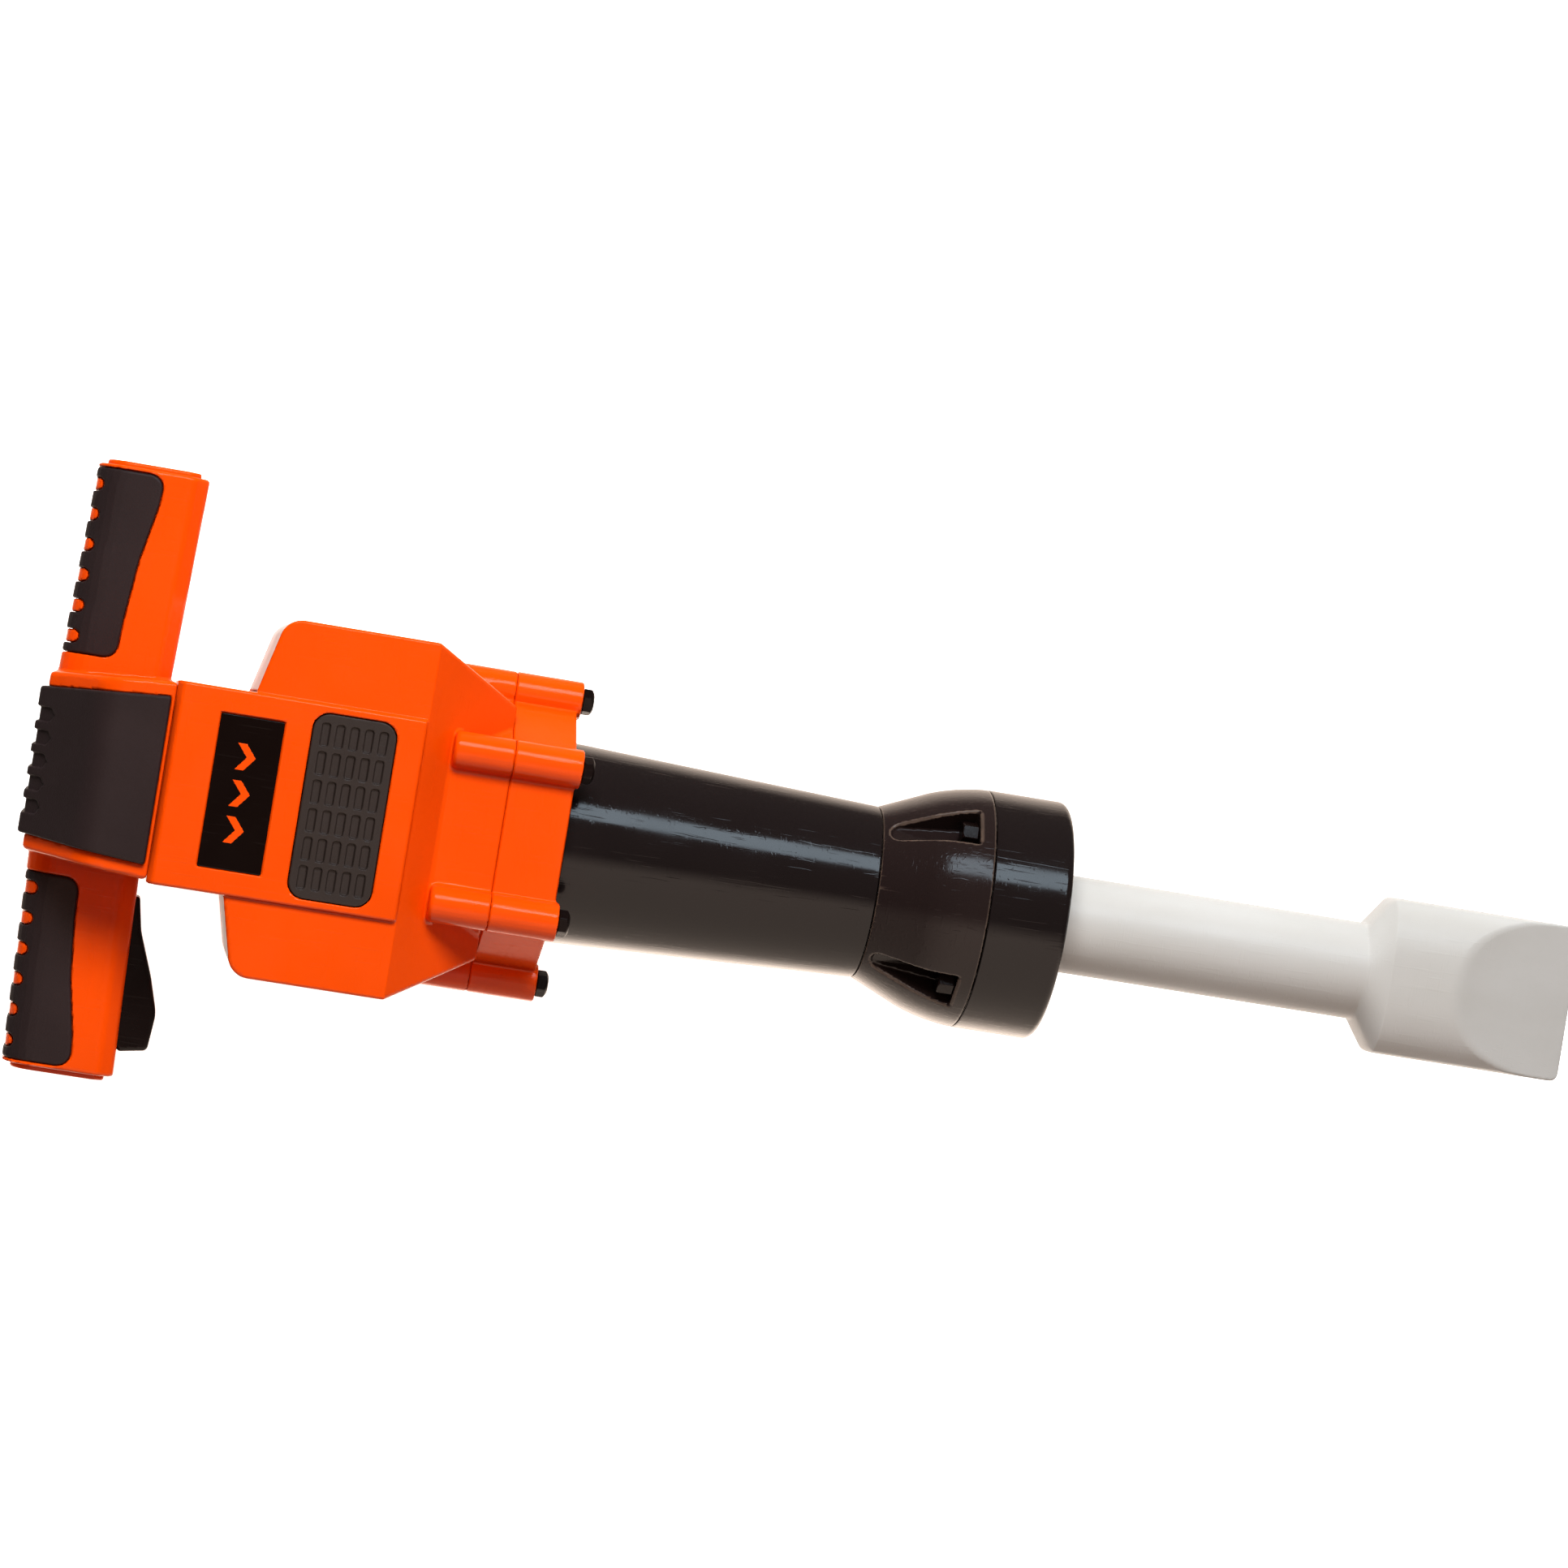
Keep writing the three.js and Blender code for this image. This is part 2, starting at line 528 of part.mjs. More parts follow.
function chisel() {
  const shaft = rodX(SHAFT_START_X, BLADE_START_X, SHAFT_R, 0, 0, 32);
  const plan = rounded(mirroredY([
    [SHAFT_END_X, SHAFT_R - 3],
    [SHAFT_END_X + 1, SHAFT_R, 3],
    [BLADE_START_X - 1, BLADE_Y, 4],
    [TIP_X, BLADE_Y, 3.5],
  ]), 3);
  const side = mirroredY([
    [SHAFT_END_X - 1, SHAFT_R - 3],
    [SHAFT_END_X + 1, SHAFT_R],
    [BLADE_START_X - 1, BLADE_Z],
    [BLADE_BEVEL_X, BLADE_Z],
    [TIP_X, TIP_Z],
  ]);
  const section = Array.from({ length: 40 }, (_, i) => {
    const [c, s] = [Math.cos(Math.PI * i / 20), Math.sin(Math.PI * i / 20)];
    return [BLADE_Y * Math.sign(c) * Math.abs(c) ** 0.8, BLADE_Z * Math.sign(s) * Math.abs(s) ** 0.8];
  });
  const blade = extrudeZ(plan, -FAR, FAR)
    .intersect(extrudeY(side, -FAR, FAR))
    .intersect(extrudeX(section, SHAFT_END_X - 1, TIP_X + 1));
  return unite([shaft, blade]).subtract(rodX(0, SHAFT_END_X, SHAFT_R - 3, 0, 0, 24));
}

function pushRod() {
  const flange = rodX(SHAFT_START_X - 4.3, SHAFT_START_X - GAP, FLANGE_R - 1, 0, 0, 32);
  const plug = rodX(SHAFT_START_X - 1, SHAFT_START_X + 30, SHAFT_R - 3 - GAP, 0, 0, 24);
  return unite([rodX(ROD_END_X, SHAFT_START_X, ROD_R, 0, 0, 24), flange, plug]);
}

function springSeat() {
  const inside = BARREL_END_R - 1.2;
  return rodX(SEAT_X, SEAT_X + 3.5, inside - 0.4, 0, 0, 32).subtract(rodX(0, FAR, ROD_R + GAP));
}

piece('chisel', chisel(), silver);
piece('push_rod', pushRod(), steel);
piece('spring_seat', springSeat(), grey);
piece('chisel_spring', coil(SEAT_X + 6, SHAFT_START_X - 6, 11.5, 1.1, 7), steel);

// ---- handle ----
// The hub seen from the side, grown or shrunk by grow.
function hubProfile(grow, right = NECK_X - GAP) {
  const half = [
    [right, HUB_Z + grow],
    [-174 - grow * 0.3, HUB_Z - 1 + grow],
    [HUB_LEFT_X - grow, 25 + grow * 0.4],
  ];
  return [...half, ...half.slice().reverse().map(([x, z]) => [x, -z])];
}

function padBand(grow) {
  const band = [
    [NECK_X - GAP, HUB_PAD_RIGHT_Y + grow],
    [HUB_PAD_LEFT_X - 1, HUB_PAD_LEFT_Y + grow],
  ];
  return extrudeZ(mirroredY(band), -FAR, FAR);
}

// Section across a grip, in X and Z, about the grip's centre line at Y = 0.
function gripSection(inset) {
  const [x, z, r] = [GRIP_HALF_X - inset, GRIP_HALF_Z - inset, Math.max(11 - inset, 2)];
  const bevel = 5.5 - inset * 0.4;
  return rounded([
    [-x, -z, r], [x - bevel, -z, 1.5], [x, bevel - z, 1.5],
    [x, z - bevel, 1.5], [x - bevel, z, 1.5], [-x, z, r],
  ], 3).map(([u, v]) => [u + GRIP_MID_X, v]);
}

function grip(side, inset, y0, y1) {
  const [low, high] = [side * y0, side * y1].sort((a, b) => a - b);
  return extrudeY(gripSection(inset), low, high, side * GRIP_SWEEP);
}

const SIDES = [1, -1];

function hubBlock(grow) {
  const plan = extrudeZ(mirroredY([
    [NECK_X - GAP, HUB_RIGHT_Y + Math.min(grow, 0)],
    [HUB_PAD_LEFT_X - 1, HUB_LEFT_Y + Math.min(grow, 0)],
  ]), -FAR, FAR);
  return extrudeY(hubProfile(grow), -FAR, FAR).intersect(plan);
}

// Windows cut through the wrap of a pad at the handle end, one for each place along Y.
function padWindows(places, left, depth, height) {
  return places.map((y) => {
    const end = left + depth - height / 2;
    const slot = block(-FAR, end, y - height / 2, y + height / 2, -FAR, FAR);
    return slot.add(rodZ(-FAR, FAR, height / 2, end, y, 8));
  });
}

function evenly(count, centre, pitch) {
  return Array.from({ length: count }, (_, i) => centre + (i - (count - 1) / 2) * pitch);
}

// Front edge of a grip pad: an S between the outer end and the hub end.
function padEdge(side, grow) {
  const points = [[-FAR, 40.1 - grow], [-171 + grow, 40.1 - grow], [-170.2 + grow, 58], [-168.4 + grow, 78],
    [-165 + grow, 96], [-164 + grow, 102], [-164 + grow, 107.6 + grow], [-FAR, 107.6 + grow]];
  return extrudeZ(points.map(([x, y]) => [x, y * side]), -FAR, FAR);
}

function gripPad(side) {
  const ring = grip(side, 0, 38, GRIP_END_Y).subtract(grip(side, PAD_DEPTH - 0.02, 30, 115));
  const windows = padWindows(evenly(6, side * 73.7, 11.1), GRIP_MID_X - GRIP_HALF_X + 2.3, 6.5, 5.3);
  return cut(ring.intersect(padEdge(side, 0)), windows);
}

function hubPad() {
  const ring = hubBlock(HUB_PAD_PROUD).subtract(extrudeY(hubProfile(-1), -FAR, FAR));
  const band = padBand(0).intersect(block(-FAR, NECK_X - 0.8, -FAR, FAR, -FAR, FAR));
  const windows = padWindows(evenly(5, 0, 8.15), HUB_PAD_LEFT_X, 11, 5.3);
  return cut(ring.intersect(band), windows);
}

function padRecess() {
  const pads = SIDES.map((side) => grip(side, -1, 38, 115)
    .subtract(grip(side, PAD_DEPTH + GAP, 30, 120))
    .intersect(padEdge(side, GAP)));
  const hub = hubBlock(4).subtract(extrudeY(hubProfile(-1 - GAP), -FAR, FAR));
  return unite([...pads, hub.intersect(padBand(GAP))]);
}

function capOutline(inset) {
  return gripSection(3.2 + inset).map(([x, z]) => [x + GRIP_SWEEP * GRIP_END_Y, z]);
}

function endCap(side) {
  const [low, high] = [side * (GRIP_END_Y - 1.7), side * (GRIP_END_Y + 1.8)].sort((a, b) => a - b);
  return extrudeY(capOutline(0), low, high);
}

function capRecess(side) {
  const [low, high] = [side * (GRIP_END_Y - 2), side * (GRIP_END_Y + 5)].sort((a, b) => a - b);
  return extrudeY(capOutline(-GAP), low, high);
}

function handleSolid() {
  const outside = unite([hubBlock(0), ...SIDES.map((side) => grip(side, 0, GRIP_INNER_Y, GRIP_END_Y))]);
  const inHub = hubBlock(-4).intersect(block(-FAR, NECK_X - 4, -FAR, FAR, -FAR, FAR));
  const inGrips = SIDES.map((side) => grip(side, SHELL_INSET, 10, GRIP_END_Y - 4.5));
  const neckHole = block(NECK_X - 9, 0, -15.3, 15.3, -15.3, 15.3);
  const slot = block(-165, -130, -101.6, -41.5, -TRIGGER_HALF_Z - 0.5, TRIGGER_HALF_Z + 0.5);
  const pinHole = rodZ(-14.3, 14.3, 1.8, ...TRIGGER_PIVOT, 12);
  const bosses = HANDLE_SCREWS.map(([x, y]) => rodZ(4 - GRIP_HALF_Z, GRIP_HALF_Z - 4, 3.8, x, y, 12));
  const filled = unite([cut(outside, [inHub, ...inGrips]), ...bosses]);
  return cut(filled, [padRecess(), ...SIDES.map(capRecess), neckHole, slot])
    .add(pinBosses()).subtract(pinHole);
}

// Bosses inside the trigger grip that carry the ends of the pin.
function pinBosses() {
  const [x, y] = TRIGGER_PIVOT;
  return unite([rodZ(10, 14.8, 4, x, y, 12), rodZ(-14.8, -10, 4, x, y, 12)]);
}

function handleShell(front) {
  const [z0, z1] = front ? [GAP / 2, FAR] : [-FAR, -GAP / 2];
  const half = block(-FAR, FAR, -FAR, FAR, z0, z1);
  const shanks = HANDLE_SCREWS.map(([x, y]) => rodZ(-FAR, 10, 1.9, x, y, 12));
  const sinks = HANDLE_SCREWS.map(([x, y]) => rodZ(-FAR, HANDLE_SEAT_Z, 3.1, x, y, 12));
  return cut(handleSolid().intersect(half), [...shanks, ...sinks]);
}

piece('handle_front_shell', handleShell(true), orange);
piece('handle_rear_shell', handleShell(false), orange);
piece('hub_pad', hubPad(), black);
piece('grip_pad_plain', gripPad(1), black);
piece('grip_pad_trigger', gripPad(-1), black);
piece('end_cap_plain', endCap(1), orange);
piece('end_cap_trigger', endCap(-1), orange);
HANDLE_SCREWS.forEach(([x, y], i) => {
  piece(`handle_screw_${i + 1}`, caseScrew(x, y, HANDLE_SEAT_Z - GAP, 8, 2.8), steel);
});

// ---- trigger and its switch ----
function trigger() {
  const [px, py] = TRIGGER_PIVOT;
  const outline = rounded([
    [px - 3.6, py + 3.6, 3], [-151.5, -43.4, 1], [-148.6, -43.6, 1], [-146.2, -56, 12],
    [-140, -72, 14], [-136.2, -84.5, 9], [-137.4, -98.2, 2], [-147.3, -99.9, 1],
    [-149, -98.6, 1], [-154.6, -98.4, 1], [-155, -60, 3], [px - 3.6, py - 5, 3],
  ], 4);
  const body = extrudeZ(outline, -TRIGGER_HALF_Z, TRIGGER_HALF_Z);
  return body.subtract(rodZ(-FAR, FAR, 1.5 + GAP, px, py, 12));
}

piece('trigger', trigger(), black);
piece('trigger_pin', rodZ(-14, 14, 1.5, ...TRIGGER_PIVOT, 12), steel);
piece('trigger_switch', block(-178, -164, -84, -70, -5, 5)
  .subtract(block(-170, -160, -80, -74, -2, 2)), black);
piece('switch_plunger', block(-166.5, -155.4, -79.6, -74.4, -1.6, 1.6), grey);
piece('trigger_spring', coil(-181, -156, 2.6, 0.5, 5, -92, 0), steel);

// ---- drive ----
function gearOutline(teeth, offset) {
  const pitchR = teeth * GEAR_MODULE / 2;
  const share = Math.PI / teeth;
  const points = [];
  for (let i = 0; i < teeth; i += 1) {
    const a = 2 * share * (i + offset);
    const place = (r, t) => [r * Math.cos(a + t * share), r * Math.sin(a + t * share)];
    points.push(place(pitchR - 1.15, -0.72), place(pitchR + 0.85, -0.2));
    points.push(place(pitchR + 0.85, 0.2), place(pitchR - 1.15, 0.72));
  }
  return points;
}

function gear(teeth, offset, y0, y1, x) {
  return extrudeY(gearOutline(teeth, offset).map(([u, v]) => [u + x, v]), y0, y1);
}

function driveGear() {
  const cam = rodY(-5, 5, CAM_R, GEAR_X, CAM_OFFSET, 32);
  const hub = rodY(-5.5, 15, 6, GEAR_X, 0, 20);
  const wheel = gear(GEAR_TEETH, 0.5, 9, 14, GEAR_X);
  return unite([cam, hub, wheel]).subtract(rodY(-FAR, FAR, 2.2 + GAP, GEAR_X, 0, 16));
}

function motor() {
  const can = rodY(-24, 5, 12, MOTOR_X, 0, 24);
  const snout = rodY(4, 7, 3, MOTOR_X, 0, 16);
  return unite([can, snout, rodY(6, 16, 1, MOTOR_X, 0, 10)]);
}

function motorPinion() {
  const teeth = gear(PINION_TEETH, 0, 8.5, 14.5, MOTOR_X);
  return teeth.subtract(rodY(-FAR, FAR, 1 + GAP, MOTOR_X, 0, 10));
}

function gearboxFrame() {
  const low = block(-42, GEAR_X + 7, -9, -7, -14, 14).subtract(rodY(-FAR, 0, 12 + GAP, MOTOR_X, 0, 24));
  const high = block(-42, GEAR_X + 7, 16.6, 18.6, -14, 14);
  const back = block(-42, -39, -9, 18.6, -14, 14);
  return unite([low, high, back]).subtract(rodY(-FAR, FAR, 2.2 + GAP, GEAR_X, 0, 16));
}

piece('motor', motor(), steel);
piece('motor_pinion', motorPinion(), steel);
piece('drive_gear', driveGear(), grey);
piece('gear_axle', rodY(-10, 19.6, 2.2, GEAR_X, 0, 16), steel);
piece('gearbox_frame', gearboxFrame(), black);

// ---- electrics ----
function circuitBoard() {
  const board = block(-112, -68, -48, -26, 14, 15.6);
  const parts = [block(-104, -94, -44, -34, 15, 18), block(-86, -80, -46, -32, 15, 19)];
  return unite([board, ...parts, rodZ(15, 24, 3, -74, -34, 12)]);
}

const CELL_R = 7.1;
const CELL_Z = -PANEL_Z + 3.4 + CELL_R;

function batteryBox() {
  const outer = block(BAY_X, DOOR.x1, -DOOR.y, DOOR.y, -PANEL_Z + 3, CELL_Z + CELL_R + 2);
  return outer.subtract(block(BAY_X + 1, DOOR.x1 - 1, 1 - DOOR.y, DOOR.y - 1, -FAR, CELL_Z + CELL_R + 0.4));
}

function batteryCell(y) {
  return unite([rodX(-113.5, -65.5, CELL_R, y, CELL_Z, 16), rodX(-66, -64.2, 2.7, y, CELL_Z, 10)]);
}

function batteryDoor() {
  const plate = block(DOOR.x0, DOOR.x1, -DOOR.y, DOOR.y, -PANEL_Z, DOOR.thick - PANEL_Z);
  const sink = rodZ(-FAR, 1.7 - PANEL_Z, 3.2, DOOR.screwX, 0, 14);
  return cut(plate, [rodZ(-FAR, FAR, 1.6, DOOR.screwX, 0, 10), sink]);
}

function doorScrew() {
  const head = rodZ(0.5 - PANEL_Z, 1.4 - PANEL_Z, 2.8, DOOR.screwX, 0, 12);
  return head.add(rodZ(1 - PANEL_Z, 11 - PANEL_Z, 1.2, DOOR.screwX, 0, 8));
}

function powerSwitch() {
  const knob = block(SWITCH.x0 + 2.5, SWITCH.x1 - 2.5, -8, -2.5, -PANEL_Z + 0.3, -PANEL_Z + 1.1);
  const stem = block(SWITCH.x0 + 4.4, SWITCH.x1 - 4.4, -7, -3.5, -PANEL_Z + 1, -PANEL_Z + 6);
  return unite([knob, stem]);
}

piece('circuit_board', circuitBoard(), green);
piece('battery_box', batteryBox(), black);
evenly(3, 0, CELL_R * 2 + 0.6).forEach((y, i) => piece(`battery_cell_${i + 1}`, batteryCell(y), steel));
piece('battery_door', batteryDoor(), orange);
piece('battery_door_screw', doorScrew(), steel);
piece('power_switch', powerSwitch(), black);

drill.position.set(-(HUB_LEFT_X - HUB_PAD_PROUD + TIP_X) / 2, 0, PANEL_Z);

export default drill;
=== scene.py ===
"""Looks for the toy demolition hammer: moulded shells, pads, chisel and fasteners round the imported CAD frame.

Shapes are worked out in millimetres on the tool axis: x runs towards the chisel with 0 at the end of the nose
tubes, y runs along the handle and z out of the front face. place() turns them into the frame's metres.
"""
import json
import math
from functools import partial

import bpy
import bmesh
import numpy as np
from mathutils import Matrix, Vector


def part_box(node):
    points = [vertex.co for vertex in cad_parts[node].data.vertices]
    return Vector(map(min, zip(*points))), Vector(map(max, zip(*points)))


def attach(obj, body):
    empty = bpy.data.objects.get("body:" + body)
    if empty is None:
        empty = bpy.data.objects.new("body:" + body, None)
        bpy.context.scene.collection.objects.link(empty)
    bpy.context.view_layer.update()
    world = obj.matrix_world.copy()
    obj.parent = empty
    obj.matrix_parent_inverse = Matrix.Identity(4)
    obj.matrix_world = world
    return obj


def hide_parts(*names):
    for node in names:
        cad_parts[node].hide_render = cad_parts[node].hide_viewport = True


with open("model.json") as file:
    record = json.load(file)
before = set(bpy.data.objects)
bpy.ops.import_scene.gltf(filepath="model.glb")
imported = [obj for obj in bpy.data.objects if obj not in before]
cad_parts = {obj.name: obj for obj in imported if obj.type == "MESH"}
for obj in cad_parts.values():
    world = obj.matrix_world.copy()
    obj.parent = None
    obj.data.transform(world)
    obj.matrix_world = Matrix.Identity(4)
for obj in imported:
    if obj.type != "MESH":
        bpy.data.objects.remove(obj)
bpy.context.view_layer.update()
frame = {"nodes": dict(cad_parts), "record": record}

# ---- driving dimensions, in millimetres ----
GAP = 0.3
SEAM = 0.06  # gap drawn between pieces that are clamped together
WALL = 2.4
PANEL_Z = 57.0
LOBE_Z = 55.0
PANEL_Y = 36.3
NECK_X = -148.0
NECK_CHAMFER = (2.0, 3.0)  # along x, along z
RIDGE_X = -58.8
SEAM_X = -26.1
LOBE_Y = 64.2
LOBE_PLAN = [
    (-121.4, 0), (-121.4, 32.3), (-113.7, LOBE_Y, 8), (RIDGE_X, LOBE_Y, 1),
    (SEAM_X, 46.5), (SEAM_X + 9, 41.6),
]
LOBE_SIDE = [(-130, LOBE_Z), (RIDGE_X, LOBE_Z), (SEAM_X, 23.0), (SEAM_X + 9, 14.2)]
HEX_APOTHEM = 44.7
NOSE_END_X = -2.8
TUBE_END_X = -1.3
TUBE_R = 7.0
TUBE_CIRCLE_R = 52.4
TUBE_ANGLES = (32, 90, 148, -148, -90, -32)
STUB_X = -48.0
LABEL = (-131.4, -108.7, 27.4)  # x from, x to, half width
GRILLE = (-98.8, -69.1, 33.0, 6.0)  # the same and the corners' radius
DOOR = (-121.5, -62.5, 24.0)
DOOR_SCREW_X = DOOR[0] + 3.3
DOOR_SCREW_HEAD_R = 3.2
DOOR_SCREW_R = 1.6
BAY_X = -115.0
SWITCH = (-140.0, -126.0, 12.0)
CASE_SCREWS = [(-104, 54), (-104, -54), (-66, 54), (-66, -54)]
SCREW_HOLE_R = 1.9
CHASSIS_END_X = -108.2
PLATE_END_X = -63.8
PLATE_HALF_Z = 1.2
STRIP_Z = LOBE_Z - 2.5  # half height and inner edge of the chassis strip in the end wall
STRIP_Y = PANEL_Y + 0.6
NECK_TUBE = 15.0  # half widths of the chassis tube through the neck, its bore and its flange
NECK_BORE = 12.0
NECK_FLANGE = 21.0
NECK_HOLE = 15.3  # and of the hole in the shells round it
BARREL = (-2.5, 113.7, 37.0, 32.0)  # x from, x to, radius at each end
BARREL_BORE_R = 31.5
BARREL_ROOT_R = 34.0  # the barrel's plain root, inside the nose
NOSE_BORE_R = 34.3
CONE = (114.0, 142.6, 153.6)  # x from, x where it reaches the head's radius, x to
HEAD_R = 44.5
HEAD_BORE_R = 23.3
HEAD_CAVITY_R = 30.0
COLLAR = (153.9, 183.5)  # x from, x to
COLLAR_WALL = 3.0
HEAD_BOLT_SEAT_X = 147.8
HEAD_BOLT_CIRCLE_R = 38.5
HEAD_ANGLES = (45, 135, -135, -45)
HEAD_FLOOR = 2.2  # thickness of the head's floor under the bolts' seats
POCKET = (117.0, 3.2, 8.0, 32.0)  # start, half width there and at the bolt's seat, floor from the axis
POCKET_LEAN = 0.987  # cosine of the angle between a pocket's sides and x
BOLT_HOLE_R = 2.2
SHANK_R = 1.9
SHAFT_R = 18.3
SHAFT_WALL = 3.0
SHAFT_START_X = 124.4
SHAFT_END_X = 302.7
BLADE_START_X = 312.2
BLADE_Y = 29.6
BLADE_Z = 20.5
BLADE_BEVEL_X = 338.0
TIP_X = 386.9
TIP_Z = 1.2
HUB_LEFT_X = -193.0
HUB_Z = 51.0
HUB_TAPER = (35.5, 32.2)
HUB_PAD_TAPER = (30.3, 26.6)
HUB_PAD_PROUD = 2.6
HUB_PAD_END_X = NECK_X - 1.5
HUB_SEAT = 1.3  # depth of the seat that the hub's pad lies in
GRIP_MID_X = -171.6
GRIP_SWEEP = 0.0315
GRIP_HALF = (20.2, 18.0)
GRIP_END_Y = 109.2
PAD_DEPTH = 2.2
HANDLE_WALL = 4.6
HANDLE_SCREWS = [(-157, 95), (-157, 50), (-158.5, -103.8)]
TRIGGER_PIVOT = (-158.0, -47.0)
TRIGGER_HALF_Z = 9.0
TRIGGER_PIN_R = 1.8

BARREL_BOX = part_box("barrel")
ORIGIN = Vector((BARREL[1] / 1000 - BARREL_BOX[1].x, 0, -(BARREL_BOX[0].z + BARREL_BOX[1].z) / 2))


def place(x, y, z):
    return Vector((x, y, z)) / 1000 - ORIGIN


# ---- distance fields: negative inside, in millimetres ----
def rounded(corners, steps=8):
    """Outline from (u, v) or (u, v, radius) corners, with an arc at each corner that has a radius."""
    points = []
    count = len(corners)
    for i, corner in enumerate(corners):
        here = Vector(corner[:2])
        radius = corner[2] if len(corner) > 2 else 0
        if not radius:
            points.append(tuple(here))
            continue
        back = (Vector(corners[i - 1][:2]) - here).normalized()
        on = (Vector(corners[(i + 1) % count][:2]) - here).normalized()
        half = math.acos(max(-1, min(1, back.dot(on)))) / 2
        centre = here + (back + on).normalized() * (radius / math.sin(half))
        start = here + back * (radius / math.tan(half)) - centre
        end = here + on * (radius / math.tan(half)) - centre
        turn = math.atan2(start.x * end.y - start.y * end.x, start.dot(end))
        for k in range(steps + 1):
            point = Matrix.Rotation(turn * k / steps, 2) @ start + centre
            points.append(tuple(point))
    return points


def mirrored(points):
    """The points followed by their mirror image in v, in reverse."""
    return list(points) + [(p[0], -p[1]) + tuple(p[2:]) for p in reversed(points)]


def polygon(u, v, points):
    best = np.full(u.shape, 1e12)
    inside = np.zeros(u.shape, bool)
    for (au, av), (bu, bv) in zip(points, points[1:] + points[:1]):
        eu, ev = bu - au, bv - av
        if eu == 0 and ev == 0:
            continue
        wu, wv = u - au, v - av
        t = np.clip((wu * eu + wv * ev) / (eu * eu + ev * ev), 0, 1)
        best = np.minimum(best, (wu - eu * t) ** 2 + (wv - ev * t) ** 2)
        if ev != 0:
            crosses = ((av > v) != (bv > v)) & (u < eu * wv / ev + au)
            inside ^= crosses
    distance = np.sqrt(best)
    return np.where(inside, -distance, distance)


def meet(a, b, r=0.0):
    """Both solids, with an edge of radius r."""
    if r == 0:
        return np.maximum(a, b)
    return np.minimum(-r, np.maximum(a, b)) + np.hypot(np.maximum(r + a, 0), np.maximum(r + b, 0))


def join(a, b, r=0.0):
    """Either solid, with a fillet of radius r."""
    if r == 0:
        return np.minimum(a, b)
    return np.maximum(r, np.minimum(a, b)) - np.hypot(np.maximum(r - a, 0), np.maximum(r - b, 0))


def carve(a, tool, r=0.0):
    return meet(a, -tool, r)


def slab(w, low, high):
    return np.abs(w - (low + high) / 2) - (high - low) / 2


def box(p, low, high, r=0.0):
    q = [np.abs(p[i] - (low[i] + high[i]) / 2) - (high[i] - low[i]) / 2 + r for i in range(3)]
    outside = np.sqrt(sum(np.maximum(c, 0) ** 2 for c in q))
    return outside + np.minimum(np.maximum(np.maximum(q[0], q[1]), q[2]), 0) - r


def hexagon(u, v, apothem):
    a = np.abs(v)
    b = np.abs(u) * math.cos(math.pi / 6) + np.abs(v) * math.sin(math.pi / 6)
    return np.maximum(a, b) - apothem


def rod(u, v, r, u0=0.0, v0=0.0):
    return np.hypot(u - u0, v - v0) - r


def to_nearest(v, pitch, count):
    """Distance along v to the nearest of count places, a pitch apart and centred on 0."""
    last = count - 1
    u = v / pitch + last / 2
    return (u - np.clip(np.round(u), 0, last)) * pitch


# ---- meshing a field ----
BLOCK = 6  # grid points along a block's side
BATCH = 1500  # blocks worked out at a time
MARGIN = 2.5  # grid steps kept clear round a solid
HALF_DIAGONAL = 0.87  # of a block, for each point along its side
CORNERS = [(i, j, k) for i in (0, 1) for j in (0, 1) for k in (0, 1)]
PROBE = 0.02  # how far apart, in millimetres, slopes are measured
SETTLE_ROUNDS = 3
LEAST_SLOPE = 0.25


def sample(field, low, shape, step):
    """Field values on a grid, worked out only near the surface."""
    blocks = [math.ceil(n / BLOCK) for n in shape]
    centres = [low[i] + step * (BLOCK * np.arange(blocks[i]) + (BLOCK - 1) / 2) for i in range(3)]
    middle = field(*[c.ravel() for c in np.meshgrid(*centres, indexing="ij")]).reshape(blocks)
    reach = step * (BLOCK * HALF_DIAGONAL + MARGIN)
    values = np.where(middle < 0, -reach, reach)
    for axis in range(3):
        values = np.repeat(values, BLOCK, axis=axis)
    near = np.argwhere(np.abs(middle) < reach)
    inner = np.stack(np.meshgrid(*[np.arange(BLOCK)] * 3, indexing="ij"), -1).reshape(-1, 3)
    for start in range(0, len(near), BATCH):
        index = (near[start:start + BATCH, None, :] * BLOCK + inner).reshape(-1, 3)
        points = [low[i] + step * index[:, i] for i in range(3)]
        values[index[:, 0], index[:, 1], index[:, 2]] = field(*points)
    return values


def cell_corner(grid, corner):
    """The grid's values at one corner of every cell."""
    i, j, k = corner
    return grid[i:grid.shape[0] - 1 + i, j:grid.shape[1] - 1 + j, k:grid.shape[2] - 1 + k]


def crossing_centres(values, cells):
    """Mean, within each cell, of the points where its edges cross the surface."""
    at = {c: values[cells[:, 0] + c[0], cells[:, 1] + c[1], cells[:, 2] + c[2]] for c in CORNERS}
    sums = np.zeros((len(cells), 3))
    counts = np.zeros(len(cells))
    for a in CORNERS:
        for axis in range(3):
            if a[axis]:
                continue
            b = tuple(1 if i == axis else a[i] for i in range(3))
            va, vb = at[a], at[b]
            hit = (va < 0) != (vb < 0)
            t = np.where(hit, va / np.where(hit, va - vb, 1), 0)
            for i in range(3):
                sums[:, i] += np.where(hit, a[i] + (t if i == axis else 0), 0)
            counts += hit
    return sums / counts[:, None]


